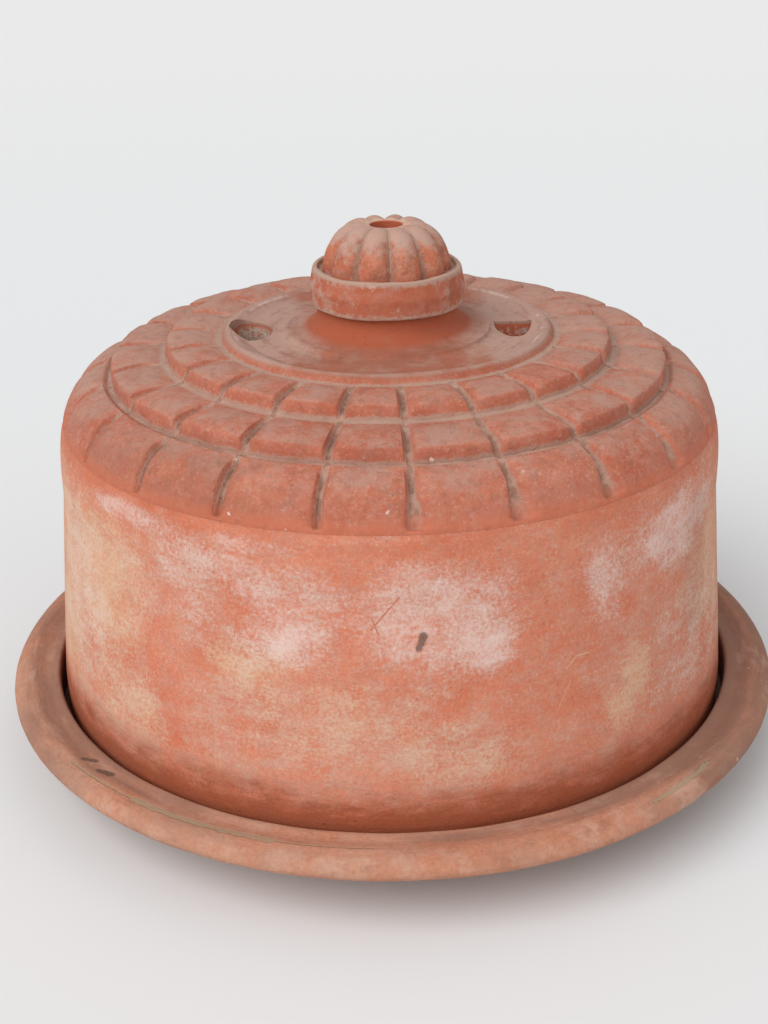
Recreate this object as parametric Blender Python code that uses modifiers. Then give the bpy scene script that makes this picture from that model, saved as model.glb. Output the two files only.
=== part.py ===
"""Butter cloche in unglazed terracotta: a double-walled bell with a tiled crown, standing in a saucer.

The wall, the crown, the inner bell and the knob are luted together and lift off as one. Water is poured into
the gutter, runs through two cut holes into the jacket between the bells, and the air leaves by the knob.
Lengths are in metres, +Z is up, and the origin is the middle of the saucer's foot on the table.
"""

import math

import bmesh
import bpy
from mathutils import Matrix, Vector

OBJECT_NAME = "butter_cloche"

# Joints between clay members, and the smoothness of what is turned
JOINT_GAP = 0.0003
CUT_OVERSHOOT = 0.004
TILES_AROUND = 22
FACETS_PER_TILE = 3
SAUCER_FACETS = 52
LINER_FACETS = 36
FILLET_SEGMENTS = 2
FILLET_REACH_LIMIT = 0.45
MERGE_DISTANCE = 0.00001

# Saucer
SAUCER_RADIUS = 0.0900
SAUCER_HEIGHT = 0.0188
ROLL_WIDTH = 0.0046
ROLL_CROWN = 0.0028
ROLL_LOWEST_ANGLE = -60.0
ROLL_STEPS = 5
RIM_DISH_DEPTH = 0.0006
LIP_DROP = 0.0002
LIP_ROUNDING = 0.0007
SAUCER_FLOOR_HEIGHT = 0.0080
SAUCER_CLEARANCE = 0.0013
FOOT_RADIUS = 0.0660
FOOT_WIDTH = 0.0080
FOOT_HEIGHT = 0.0024
FOOT_RECESS = 0.0016
FOOT_EDGE = 0.0006
TABLE_RADIUS = 0.0550
TABLE_HEIGHT = 0.0050
TABLE_ROUNDING = 0.0012

# Wall: plumb inside the saucer, then it leans in a little as it rises to the crown's lower edge
BELL_FOOT_RADIUS = 0.0780
LEAN_START_HEIGHT = 0.0190
WALL_LEAN = 0.0905
WALL_THICKNESS = 0.0050
FOOT_EDGE_ROUNDING = 0.0030
SEAM_HEIGHT = 0.0786

# Crown's shoulder, a squarish quarter oval from the outermost groove down to the wall
SHOULDER_START_HEIGHT = 0.0638
SHOULDER_TOP_HEIGHT = 0.0883
SHOULDER_INSET = 0.0026
SHOULDER_SQUARENESS = 2.9
SHOULDER_FIRST_DEGREES = 81.0
SHOULDER_POINTS = 6
INNER_SHOULDER_ROUNDING = 0.0120
INNER_SHOULDER_DROP = 0.0024
CROWN_THICKNESS = 0.0056

# Crown: the ring grooves between the rows of tiles, outermost first
OUTER_GROOVE_RADIUS = 0.0616
OUTER_GROOVE_HEIGHT = 0.0874
MIDDLE_GROOVE_RADIUS = 0.0498
MIDDLE_GROOVE_HEIGHT = 0.0918
INNER_GROOVE_RADIUS = 0.0373
INNER_GROOVE_HEIGHT = 0.0948
TILE_RELIEF = 0.0036
# Section of a tile, as shares of its row's width and of the relief: a slow rise and a steep outer edge
TILE_SECTION = ((0.12, 0.36), (0.36, 0.8), (0.82, 0.94), (0.95, 0.55))
RADIAL_GROOVE_RADIUS = 0.0016
RADIAL_GROOVE_DEPTH = 0.0019
RADIAL_GROOVE_FADE = 0.4
RADIAL_GROOVE_END_HEIGHT = 0.0806
FIRST_JOINT_DEGREES = 4.3
# The joints were spaced by hand: those near the front crowd towards one another
STRAY_DEGREES = 1.5
STRAY_MIDDLE_DEGREES = -4.0
STRAY_REACH_DEGREES = 9.0

# Lip, gutter and neck
LIP_CREST_RADIUS = 0.0355
LIP_CREST_HEIGHT = 0.0968
LIP_CREST_ROUNDING = 0.0008
GUTTER_OUTER_RADIUS = 0.0315
GUTTER_INNER_RADIUS = 0.0245
GUTTER_FLOOR_HEIGHT = 0.0951
NECK_STEP_RADIUS = 0.0227
NECK_STEP_HEIGHT = 0.0010
NECK_RADIUS = 0.0155
NECK_TOP_HEIGHT = 0.1020
NECK_FLARE_POINTS = 4
NECK_FLARE_SQUARENESS = 2.9
NECK_BORE_RADIUS = 0.0090

# Pour holes, cut by hand through the gutter: one has a straight far edge, the other is a leaning oval
STRAIGHT_HOLE_X = 0.0278
STRAIGHT_HOLE_EDGE_Y = 0.0040
STRAIGHT_HOLE_HALF_WIDTH = 0.0043
STRAIGHT_HOLE_DEPTH = 0.0110
OVAL_HOLE_X = -0.0302
OVAL_HOLE_Y = -0.0003
OVAL_HOLE_HALF_WIDTH = 0.0048
OVAL_HOLE_HALF_LENGTH = 0.0070
OVAL_HOLE_LEAN_DEGREES = 12.0
HOLE_OUTLINE_POINTS = 14

# Inner bell
JACKET_WIDTH = 0.0080
JACKET_HEADROOM = 0.0090
LINER_THICKNESS = 0.0050
LINER_FLANGE_HEIGHT = 0.0050
LINER_FLANGE_ROUNDING = 0.0030
LINER_SHOULDER_ROUNDING = 0.0110
LINER_EDGE_ROUNDING = 0.0010

# Knob: a spigot in the neck, a band, and a dome of lobes round the vent
LOBES = 10
FIRST_VALLEY_DEGREES = 3.0
FACETS_PER_LOBE = 5
SPIGOT_LENGTH = 0.0048
CAVITY_RADIUS = 0.0050
CAVITY_HEIGHT = 0.0135
VENT_RADIUS = 0.0034
VENT_FACETS = 30
BAND_HEIGHT = 0.0073
BAND_LOWER_RADIUS = 0.0167
BAND_MIDDLE_RADIUS = 0.0170
BAND_UPPER_RADIUS = 0.0162
BAND_LIP_WIDTH = 0.0009
BAND_TROUGH_DEPTH = 0.0009
BAND_EDGE_ROUNDING = 0.0004
DOME_RADIUS = 0.0142
DOME_HEIGHT = 0.0095
LOBE_RADIUS = 0.0041
LOBE_TOP_RADIUS = 0.0029
LOBE_TOP_REACH = 0.0059
LOBE_POINTS = 5
LOBE_END_SHARE = 0.8
CORE_INSET = 0.0026
CORE_TOP_DROP = 0.0012
CORE_FIRST_DEGREES = 50.0
CORE_STEPS = 3

CLAY_COLOURS = {
    "saucer": (0.43, 0.22, 0.15, 1.0),
    "wall": (0.55, 0.26, 0.17, 1.0),
    "crown": (0.51, 0.22, 0.14, 1.0),
    "inner_bell": (0.52, 0.27, 0.18, 1.0),
    "knob": (0.55, 0.24, 0.15, 1.0),
}
CLAY_ROUGHNESS = 0.9


def clear_scene():
    """Removes every object that the scene starts with."""
    for item in list(bpy.data.objects):
        bpy.data.objects.remove(item, do_unlink=True)


def new_collection(name):
    collection = bpy.data.collections.new(name)
    bpy.context.scene.collection.children.link(collection)
    return collection


def clay(name):
    """A matt unglazed clay for one piece."""
    material = bpy.data.materials.new(name + "_clay")
    material.use_nodes = True
    shader = material.node_tree.nodes["Principled BSDF"]
    shader.inputs["Base Color"].default_value = CLAY_COLOURS[name]
    shader.inputs["Roughness"].default_value = CLAY_ROUGHNESS
    shader.inputs["Metallic"].default_value = 0.0
    return material


def fillet(before, corner, after, radius):
    """Points of the round that replaces a corner. Short sides on either hand limit the round."""
    back = before - corner
    ahead = after - corner
    opening = back.angle(ahead)
    limit = FILLET_REACH_LIMIT * min(back.length, ahead.length)
    reach = min(radius / math.tan(opening / 2), limit)
    start = corner + back.normalized() * reach
    end = corner + ahead.normalized() * reach
    middle = (back.normalized() + ahead.normalized()).normalized()
    radius = reach * math.tan(opening / 2)
    centre = corner + middle * (radius / math.sin(opening / 2))
    from_start = start - centre
    turn = from_start.angle_signed(end - centre)
    points = []
    for step in range(FILLET_SEGMENTS + 1):
        angle = -turn * step / FILLET_SEGMENTS
        points.append(centre + Matrix.Rotation(angle, 2) @ from_start)
    return points


def outline(corners, closed):
    """Turns (radius, height) or (radius, height, fillet) corners into the points of a profile."""
    places = [Vector(corner[:2]) for corner in corners]
    points = []
    for index, corner in enumerate(corners):
        rounded = len(corner) == 3 and corner[2] > 0
        inside = closed or 0 < index < len(corners) - 1
        if rounded and inside:
            after = places[(index + 1) % len(places)]
            points += fillet(places[index - 1], places[index], after, corner[2])
        else:
            points.append(places[index])
    return points


def object_in(collection, name, mesh):
    item = bpy.data.objects.new(name, mesh)
    collection.objects.link(item)
    return item


def clipped(points, height, above):
    """The part of a closed section that lies above or below a level, closed by a level edge."""
    kept = []
    for before, point in zip(points[-1:] + points[:-1], points):
        if (before.y > height) != (point.y > height):
            kept.append(before.lerp(point, (height - before.y) / (point.y - before.y)))
        if (point.y > height) == above:
            kept.append(point)
    return kept


def turned(collection, name, points, closed, facets):
    """A piece turned about the vertical axis from its half section, which runs down its outer side."""
    section = bmesh.new()
    verts = [section.verts.new((point.x, 0.0, point.y)) for point in points]
    for first, second in zip(verts, verts[1:]):
        section.edges.new((first, second))
    if closed:
        section.edges.new((verts[-1], verts[0]))
    mesh = bpy.data.meshes.new(name)
    section.to_mesh(mesh)
    section.free()
    item = object_in(collection, name, mesh)
    screw = item.modifiers.new("turn", "SCREW")
    screw.axis = "Z"
    screw.angle = 2 * math.pi
    screw.steps = facets
    screw.render_steps = facets
    screw.use_merge_vertices = True
    screw.merge_threshold = MERGE_DISTANCE
    screw.use_smooth_shade = True
    return item


def hidden(cutter):
    cutter.hide_render = True
    cutter.display_type = "WIRE"
    return cutter


def solid_from_curve(item, name, collection):
    """Makes a mesh object of a curve, with its caps welded on, and removes the curve."""
    bpy.context.view_layer.update()
    graph = bpy.context.evaluated_depsgraph_get()
    mesh = bpy.data.meshes.new_from_object(item.evaluated_get(graph))
    shape = bmesh.new()
    shape.from_mesh(mesh)
    bmesh.ops.remove_doubles(shape, verts=shape.verts, dist=MERGE_DISTANCE)
    bmesh.ops.recalc_face_normals(shape, faces=shape.faces)
    shape.to_mesh(mesh)
    shape.free()
    solid = object_in(collection, name, mesh)
    solid.matrix_world = item.matrix_world
    bpy.data.objects.remove(item, do_unlink=True)
    return solid


def add_tube(curve, points):
    """Adds one run to a curve, from (place, share of the full thickness) pairs."""
    spline = curve.splines.new("POLY")
    spline.points.add(len(points) - 1)
    for point, (place, share) in zip(spline.points, points):
        point.co = (*place, 1.0)
        point.radius = share


def around(place, degrees):
    """A (radius, height) place turned to an azimuth, counted from -Y towards +X."""
    angle = math.radians(degrees)
    return Vector((place[0] * math.sin(angle), -place[0] * math.cos(angle), place[1]))


def cut(item, cutter, name):
    boolean = item.modifiers.new(name, "BOOLEAN")
    boolean.operation = "DIFFERENCE"
    boolean.solver = "EXACT"
    boolean.object = cutter


def bell_floor_height():
    """The bells stand on the saucer's floor."""
    return SAUCER_FLOOR_HEIGHT + JOINT_GAP


def wall_radius(height, inset=0.0):
    """Radius of the bell's wall at a height, moved in by a thickness."""
    return BELL_FOOT_RADIUS - WALL_LEAN * max(height - LEAN_START_HEIGHT, 0.0) - inset


def oval_arc(centre, half_width, half_height, start_degrees, end_degrees, steps, squareness=2.0):
    """Points along an oval. A squareness of 2 is an ellipse, and more than 2 fills its corners."""
    points = []
    for step in range(steps + 1):
        angle = math.radians(start_degrees + (end_degrees - start_degrees) * step / steps)
        across = math.copysign(abs(math.cos(angle)) ** (2 / squareness), math.cos(angle))
        up = math.copysign(abs(math.sin(angle)) ** (2 / squareness), math.sin(angle))
        points.append((centre[0] + half_width * across, centre[1] + half_height * up))
    return points


def build_saucer(collection):
    """Dish with a rolled rim, a foot ring below and a raised round table for the butter."""
    inner_radius = BELL_FOOT_RADIUS + SAUCER_CLEARANCE
    crest_radius = SAUCER_RADIUS - ROLL_WIDTH
    roll_height = SAUCER_HEIGHT - ROLL_CROWN
    table_top = SAUCER_FLOOR_HEIGHT + TABLE_HEIGHT
    corners = [
        (0.0, table_top),
        (TABLE_RADIUS, table_top, TABLE_ROUNDING),
        (TABLE_RADIUS, SAUCER_FLOOR_HEIGHT),
        (inner_radius, SAUCER_FLOOR_HEIGHT),
        (inner_radius, SAUCER_HEIGHT - LIP_DROP, LIP_ROUNDING),
        ((inner_radius + crest_radius) / 2, SAUCER_HEIGHT - RIM_DISH_DEPTH),
    ]
    corners += oval_arc((crest_radius, roll_height), ROLL_WIDTH, ROLL_CROWN, 90.0, ROLL_LOWEST_ANGLE, ROLL_STEPS)
    corners += [
        (FOOT_RADIUS, FOOT_HEIGHT),
        (FOOT_RADIUS - FOOT_EDGE, 0.0),
        (FOOT_RADIUS - FOOT_WIDTH, 0.0),
        (FOOT_RADIUS - FOOT_WIDTH - FOOT_EDGE, FOOT_RECESS),
        (0.0, FOOT_RECESS),
    ]
    return turned(collection, "saucer", outline(corners, False), False, SAUCER_FACETS)


def grooves():
    """Bottoms of the ring grooves, from the neck outwards."""
    return [
        Vector((INNER_GROOVE_RADIUS, INNER_GROOVE_HEIGHT)),
        Vector((MIDDLE_GROOVE_RADIUS, MIDDLE_GROOVE_HEIGHT)),
        Vector((OUTER_GROOVE_RADIUS, OUTER_GROOVE_HEIGHT)),
    ]


def tile_row(inner, outer, points, sink=0.0):
    """Section of one row of tiles between two groove bottoms, sunk by a depth below the tiles' crest."""
    along = outer - inner
    outward = Vector((-along.y, along.x)).normalized()
    return [inner + along * share + outward * (TILE_RELIEF * rise - sink) for share, rise in points]


def shoulder():
    """Section of the outermost row and the shoulder, a squarish quarter oval that ends on the wall."""
    centre = (OUTER_GROOVE_RADIUS - SHOULDER_INSET, SHOULDER_START_HEIGHT)
    half_width = wall_radius(SHOULDER_START_HEIGHT) - centre[0]
    half_height = SHOULDER_TOP_HEIGHT - SHOULDER_START_HEIGHT
    section = oval_arc(centre, half_width, half_height, SHOULDER_FIRST_DEGREES, 0.0,
                       SHOULDER_POINTS, SHOULDER_SQUARENESS)
    return [Vector(point) for point in section]


def neck_flare():
    """Concave sweep from under the knob out to the step."""
    foot = GUTTER_FLOOR_HEIGHT + NECK_STEP_HEIGHT
    centre = (NECK_STEP_RADIUS, NECK_TOP_HEIGHT)
    return oval_arc(centre, NECK_STEP_RADIUS - NECK_RADIUS, NECK_TOP_HEIGHT - foot, 180.0, 270.0,
                    NECK_FLARE_POINTS, NECK_FLARE_SQUARENESS)


def outer_section():
    """Closed half section of crown and wall: down the outside from the neck, and back up the inside."""
    rows = grooves()
    floor_height = bell_floor_height()
    ceiling = GUTTER_FLOOR_HEIGHT - CROWN_THICKNESS
    outside = [(NECK_BORE_RADIUS, NECK_TOP_HEIGHT)] + neck_flare()
    outside += [
        (NECK_STEP_RADIUS, GUTTER_FLOOR_HEIGHT + NECK_STEP_HEIGHT / 4),
        (GUTTER_INNER_RADIUS, GUTTER_FLOOR_HEIGHT),
        (GUTTER_OUTER_RADIUS, GUTTER_FLOOR_HEIGHT),
        (LIP_CREST_RADIUS, LIP_CREST_HEIGHT, LIP_CREST_ROUNDING),
        (INNER_GROOVE_RADIUS - LIP_CREST_ROUNDING / 2, INNER_GROOVE_HEIGHT),
    ]
    for inner, outer in zip(rows, rows[1:]):
        outside.append(inner)
        outside += tile_row(inner, outer, TILE_SECTION)
    outside.append(rows[-1])
    outside += shoulder()
    outside.append((BELL_FOOT_RADIUS, LEAN_START_HEIGHT))
    outside.append((BELL_FOOT_RADIUS, floor_height, FOOT_EDGE_ROUNDING))
    inner_corner_height = OUTER_GROOVE_HEIGHT - CROWN_THICKNESS - INNER_SHOULDER_DROP
    inside = [
        (wall_radius(floor_height, WALL_THICKNESS), floor_height),
        (wall_radius(LEAN_START_HEIGHT, WALL_THICKNESS), LEAN_START_HEIGHT),
        (wall_radius(inner_corner_height, WALL_THICKNESS), inner_corner_height, INNER_SHOULDER_ROUNDING),
        (INNER_GROOVE_RADIUS, ceiling),
        (NECK_BORE_RADIUS, ceiling),
    ]
    return outline([tuple(corner) for corner in outside + inside], True)


def joint_azimuth(index):
    """Azimuth of one joint between tiles, in degrees."""
    even = FIRST_JOINT_DEGREES + index * 360.0 / TILES_AROUND
    from_front = (even + 180.0) % 360.0 - 180.0
    stray = STRAY_DEGREES * math.tanh((from_front - STRAY_MIDDLE_DEGREES) / STRAY_REACH_DEGREES)
    return even - stray * (1.0 - (from_front / 180.0) ** 2)


def radial_groove_path():
    """Path of one joint between tiles: along the tiles' crests, then off the shoulder as it fades out."""
    rows = grooves()
    sink = RADIAL_GROOVE_DEPTH - RADIAL_GROOVE_RADIUS
    path = [(rows[0] + Vector((RADIAL_GROOVE_RADIUS, TILE_RELIEF / 2)), 1.0)]
    for inner, outer in zip(rows, rows[1:]):
        path += [(point, 1.0) for point in tile_row(inner, outer, TILE_SECTION[1:-1], sink)]
    crest = [point for point in shoulder() if point.y > RADIAL_GROOVE_END_HEIGHT]
    path += [(point, 1.0) for point in crest]
    tail = Vector((wall_radius(RADIAL_GROOVE_END_HEIGHT) + RADIAL_GROOVE_RADIUS / 2,
                   RADIAL_GROOVE_END_HEIGHT - RADIAL_GROOVE_RADIUS))
    path.append((tail, RADIAL_GROOVE_FADE))
    return path


def radial_grooves(cutters):
    """One cutter for all the joints that run from the lip to the shoulder."""
    curve = bpy.data.curves.new("tile_joint_paths", "CURVE")
    curve.dimensions = "3D"
    curve.bevel_depth = RADIAL_GROOVE_RADIUS
    curve.bevel_resolution = 1
    curve.use_fill_caps = True
    for index in range(TILES_AROUND):
        azimuth = joint_azimuth(index)
        add_tube(curve, [(around(place, azimuth), share) for place, share in radial_groove_path()])
    item = object_in(cutters, "tile_joint_paths", curve)
    return hidden(solid_from_curve(item, "tile_joints", cutters))


def straight_hole_outline():
    """Half oval with its straight edge away from the front."""
    return oval_arc((STRAIGHT_HOLE_X, STRAIGHT_HOLE_EDGE_Y), STRAIGHT_HOLE_HALF_WIDTH,
                    STRAIGHT_HOLE_DEPTH, 180.0, 360.0, HOLE_OUTLINE_POINTS)


def oval_hole_outline():
    """Whole oval that leans towards the front."""
    lean = math.radians(OVAL_HOLE_LEAN_DEGREES)
    oval = oval_arc((0.0, 0.0), OVAL_HOLE_HALF_WIDTH, OVAL_HOLE_HALF_LENGTH, 0.0, 360.0, HOLE_OUTLINE_POINTS)
    return [(OVAL_HOLE_X + x * math.cos(lean) - y * math.sin(lean),
             OVAL_HOLE_Y + x * math.sin(lean) + y * math.cos(lean)) for x, y in oval[:-1]]


def pour_hole(cutters, name, points):
    """A knife cut straight down through the gutter, from an outline in plan."""
    top = LIP_CREST_HEIGHT + CUT_OVERSHOOT
    bottom = GUTTER_FLOOR_HEIGHT - CROWN_THICKNESS - CUT_OVERSHOOT
    curve = bpy.data.curves.new(name + "_outline", "CURVE")
    curve.dimensions = "2D"
    curve.fill_mode = "BOTH"
    curve.extrude = (top - bottom) / 2
    spline = curve.splines.new("POLY")
    spline.points.add(len(points) - 1)
    for point, place in zip(spline.points, points):
        point.co = (*place, 0.0, 1.0)
    spline.use_cyclic_u = True
    item = object_in(cutters, name + "_outline", curve)
    item.location.z = (top + bottom) / 2
    return hidden(solid_from_curve(item, name, cutters))


def build_wall(collection):
    """Wall that is thrown open at both ends, up to the seam under the tiles."""
    section = clipped(outer_section(), SEAM_HEIGHT - JOINT_GAP / 2, False)
    wall = turned(collection, "wall", section, True, TILES_AROUND * FACETS_PER_TILE)
    wall.rotation_euler.z = math.radians(FIRST_JOINT_DEGREES - 90.0)
    return wall


def build_crown(collection, cutters):
    """Crown that is pressed in a mould: three rows of tiles, lip, gutter, pour holes and neck."""
    section = clipped(outer_section(), SEAM_HEIGHT + JOINT_GAP / 2, True)
    crown = turned(collection, "crown", section, True, TILES_AROUND * FACETS_PER_TILE)
    crown.rotation_euler.z = math.radians(FIRST_JOINT_DEGREES - 90.0)
    cut(crown, radial_grooves(cutters), "cut tile joints")
    cut(crown, pour_hole(cutters, "straight_pour_hole", straight_hole_outline()), "cut straight hole")
    cut(crown, pour_hole(cutters, "oval_pour_hole", oval_hole_outline()), "cut oval hole")
    return crown


def build_inner_bell(collection):
    """Liner that closes the water jacket, with a flange that fills the foot between the two walls."""
    floor_height = bell_floor_height()
    inset = WALL_THICKNESS + JACKET_WIDTH
    flange_top = floor_height + LINER_FLANGE_HEIGHT
    top = GUTTER_FLOOR_HEIGHT - CROWN_THICKNESS - JACKET_HEADROOM
    corner_height = OUTER_GROOVE_HEIGHT - CROWN_THICKNESS - JACKET_HEADROOM
    corners = [
        (0.0, top),
        (INNER_GROOVE_RADIUS - JACKET_WIDTH, top),
        (wall_radius(corner_height, inset), corner_height, LINER_SHOULDER_ROUNDING),
        (wall_radius(LEAN_START_HEIGHT, inset), LEAN_START_HEIGHT),
        (wall_radius(flange_top, inset), flange_top, LINER_FLANGE_ROUNDING),
        (wall_radius(flange_top, WALL_THICKNESS + JOINT_GAP), flange_top),
        (wall_radius(floor_height, WALL_THICKNESS + JOINT_GAP), floor_height),
        (wall_radius(floor_height, inset + LINER_THICKNESS), floor_height, LINER_EDGE_ROUNDING),
        (wall_radius(corner_height, inset + LINER_THICKNESS), corner_height - LINER_THICKNESS,
         LINER_SHOULDER_ROUNDING - LINER_THICKNESS / 2),
        (INNER_GROOVE_RADIUS - JACKET_WIDTH, top - LINER_THICKNESS),
        (0.0, top - LINER_THICKNESS),
    ]
    return turned(collection, "inner_bell", outline(corners, False), False, LINER_FACETS)


def lobe_path(seat, crown):
    """Path and thickness of one lobe, rising from inside the band and bending over past the vent."""
    start_radius = DOME_RADIUS - LOBE_RADIUS
    end_height = crown - LOBE_TOP_RADIUS
    path = [(Vector((start_radius, seat - LOBE_RADIUS / 2)), 1.0)]
    for step in range(LOBE_POINTS):
        share = step / (LOBE_POINTS - 1)
        angle = math.radians(90.0 * share)
        place = Vector((LOBE_TOP_REACH + (start_radius - LOBE_TOP_REACH) * math.cos(angle),
                        seat + (end_height - seat) * math.sin(angle)))
        path.append((place, 1.0 + (LOBE_TOP_RADIUS / LOBE_RADIUS - 1.0) * share))
    end = Vector((VENT_RADIUS / 2, end_height - VENT_RADIUS / 4))
    path.append((end, LOBE_TOP_RADIUS / LOBE_RADIUS * LOBE_END_SHARE))
    return path


def build_lobes(cutters, seat, crown):
    """The dome's lobes, each a fat bent tube, to be joined to the knob's core."""
    lobes = bpy.data.collections.new("knob_lobes")
    cutters.children.link(lobes)
    for index in range(LOBES):
        curve = bpy.data.curves.new("lobe_path", "CURVE")
        curve.dimensions = "3D"
        curve.bevel_depth = LOBE_RADIUS
        curve.bevel_resolution = 2
        curve.use_fill_caps = True
        azimuth = FIRST_VALLEY_DEGREES + (index + 0.5) * 360.0 / LOBES
        add_tube(curve, [(around(place, azimuth), share) for place, share in lobe_path(seat, crown)])
        item = object_in(lobes, "lobe_path", curve)
        hidden(solid_from_curve(item, "lobe_%d" % index, lobes))
    return lobes


def build_knob(collection, cutters):
    """Spigot, band and lobed dome, hollow from the jacket up to the vent."""
    underside = NECK_TOP_HEIGHT + JOINT_GAP
    spigot_radius = NECK_BORE_RADIUS - JOINT_GAP
    spigot_bottom = underside - SPIGOT_LENGTH
    band_top = underside + BAND_HEIGHT
    trough = band_top - BAND_TROUGH_DEPTH
    crown = band_top + DOME_HEIGHT
    core_top = crown - CORE_TOP_DROP
    core_radius = DOME_RADIUS - CORE_INSET
    cavity_top = spigot_bottom + CAVITY_HEIGHT
    corners = [(0.0, core_top), (LOBE_TOP_REACH - VENT_RADIUS / 4, core_top)]
    corners += oval_arc((VENT_RADIUS, trough), core_radius - VENT_RADIUS, core_top - trough - CORE_INSET / 2,
                        CORE_FIRST_DEGREES, 0.0, CORE_STEPS)
    corners += [
        (BAND_UPPER_RADIUS - BAND_LIP_WIDTH, trough),
        (BAND_UPPER_RADIUS - BAND_LIP_WIDTH, band_top),
        (BAND_UPPER_RADIUS, band_top, BAND_EDGE_ROUNDING),
        (BAND_MIDDLE_RADIUS, underside + BAND_HEIGHT / 2),
        (BAND_LOWER_RADIUS, underside, BAND_EDGE_ROUNDING),
        (spigot_radius, underside),
        (spigot_radius, spigot_bottom),
        (CAVITY_RADIUS, spigot_bottom),
        (CAVITY_RADIUS, cavity_top),
        (0.0, cavity_top),
    ]
    knob = turned(collection, "knob", outline(corners, False), False, LOBES * FACETS_PER_LOBE)
    knob.rotation_euler.z = math.radians(FIRST_VALLEY_DEGREES - 90.0)
    join = knob.modifiers.new("join lobes", "BOOLEAN")
    join.operation = "UNION"
    join.solver = "EXACT"
    join.operand_type = "COLLECTION"
    join.collection = build_lobes(cutters, trough, crown)
    vent_length = crown - cavity_top + CUT_OVERSHOOT
    bpy.ops.mesh.primitive_cylinder_add(vertices=VENT_FACETS, radius=VENT_RADIUS, depth=vent_length)
    vent = bpy.context.object
    vent.name = "vent_drill"
    for owner in list(vent.users_collection):
        owner.objects.unlink(vent)
    cutters.objects.link(vent)
    vent.location.z = (crown + cavity_top) / 2
    cut(knob, hidden(vent), "drill vent")
    return knob


def main():
    clear_scene()
    pieces = new_collection(OBJECT_NAME)
    cutters = new_collection("cutters")
    # The bell's origin empty sits on the line along which it lifts off
    bell_lift = bpy.data.objects.new("bell_lift", None)
    pieces.objects.link(bell_lift)
    bell_lift.location.z = bell_floor_height()
    bpy.context.view_layer.update()
    saucer = build_saucer(pieces)
    members = [build_wall(pieces), build_crown(pieces, cutters), build_inner_bell(pieces),
               build_knob(pieces, cutters)]
    for item in [saucer] + members:
        item.data.materials.append(clay(item.name))
    for item in members:
        item.parent = bell_lift
        item.matrix_parent_inverse = bell_lift.matrix_world.inverted()


main()
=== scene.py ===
"""Looks of a butter cloche in old unglazed terracotta: a tiled bell with a lobed knob, in a rolled-rim saucer.

Each turned member is thrown again here as a fine mesh over its plain solid, with the unevenness that hands
leave, and then gets its clay, dust, lime bloom and marks. Lengths are in metres unless a name says otherwise.
"""

import logging
import math
from collections.abc import Callable
from dataclasses import dataclass
from enum import Enum
from functools import reduce
from typing import Any

import bmesh
import bpy
from mathutils import Matrix, Vector, noise


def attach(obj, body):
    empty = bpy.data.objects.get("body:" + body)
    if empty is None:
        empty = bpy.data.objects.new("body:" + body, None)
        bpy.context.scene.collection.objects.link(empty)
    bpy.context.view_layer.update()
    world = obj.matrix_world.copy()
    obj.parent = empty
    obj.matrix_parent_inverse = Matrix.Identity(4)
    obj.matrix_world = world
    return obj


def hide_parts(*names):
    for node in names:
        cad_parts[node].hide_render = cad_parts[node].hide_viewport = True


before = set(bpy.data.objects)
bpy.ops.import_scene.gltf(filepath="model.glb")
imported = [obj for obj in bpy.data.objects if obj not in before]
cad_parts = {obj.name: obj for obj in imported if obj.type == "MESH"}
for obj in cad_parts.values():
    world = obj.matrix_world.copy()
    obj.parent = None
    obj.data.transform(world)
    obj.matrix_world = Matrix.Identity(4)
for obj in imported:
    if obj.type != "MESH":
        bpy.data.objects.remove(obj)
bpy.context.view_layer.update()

LOG = logging.getLogger("butter_cloche")
MM = 0.001
WELD = 1e-6
COURSE = "course"


class Tone(Enum):
    """Colours of the clay, of what lies on it and of painted shade, as red, green and blue out of 255."""

    CLAY = (196, 122, 92)
    DEEP = (184, 98, 68)
    ROSE = (194, 134, 114)
    WALL = (208, 130, 102)
    WALL_DEEP = (198, 110, 80)
    TILE = (188, 116, 92)
    TILE_DEEP = (174, 92, 68)
    # Dark brown used for the painted shade at the wall's foot and for the dark band low on the liner.
    FOOT_SHADE_AND_STAIN = (148, 72, 42)
    NECK_SHADE = (170, 88, 60)
    GUTTER = (160, 98, 76)
    GUTTER_SIDE = (186, 154, 140)
    MAUVE_DUST = (178, 144, 130)
    GROOVE_DUST = (182, 154, 138)
    # Brown used for stains and scuffs, and for painted shade on the crown's front left.
    BROWN_STAIN_AND_SHADE = (138, 92, 74)
    LIME = (224, 198, 188)
    CREAM = (216, 184, 152)
    SOOT = (88, 72, 62)
    GRIME = (132, 92, 72)
    SAUCER = (188, 138, 114)
    SAUCER_WARM = (186, 124, 96)
    SAUCER_DARK = (142, 106, 90)
    SAUCER_ROSE = (192, 150, 130)
    CRACK_LIME = (158, 142, 116)
    HOLE_LIME = (192, 178, 164)
    BAND = (176, 94, 68)
    CHALK = (204, 168, 148)
    FLOOR_NEAR = (230, 231, 232)
    FLOOR_FAR = (234, 234, 234)
    WHITE = (255, 255, 255)

    @property
    def rgba(self) -> tuple[float, float, float, float]:
        """This tone as linear light with full alpha."""
        red, green, blue = (linear_light(part / 255) for part in self.value)
        return red, green, blue, 1.0


def linear_light(level: float) -> float:
    """Turns a display level into linear light."""
    return level / 12.92 if level <= 0.04045 else ((level + 0.055) / 1.055) ** 2.4


def smooth_step(low: float, high: float, value: float) -> float:
    """Rises smoothly from 0 at low to 1 at high."""
    share = min(max((value - low) / (high - low), 0.0), 1.0)
    return share * share * (3.0 - 2.0 * share)


def bell_curve(distance: float, width: float) -> float:
    """Height of a soft bump at a distance from its middle."""
    return math.exp(-((distance / width) ** 2))


@dataclass(frozen=True)
class Waver:
    """Smooth unevenness that hands leave, with the height and the length of its waves and its own pattern."""

    height: float
    length: float
    seed: float

    def at(self, place: Vector) -> float:
        """How far it lifts a place."""
        shift = Vector((self.seed, self.seed * 1.7, -self.seed))
        return self.height * noise.noise(place / self.length + shift)


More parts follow.
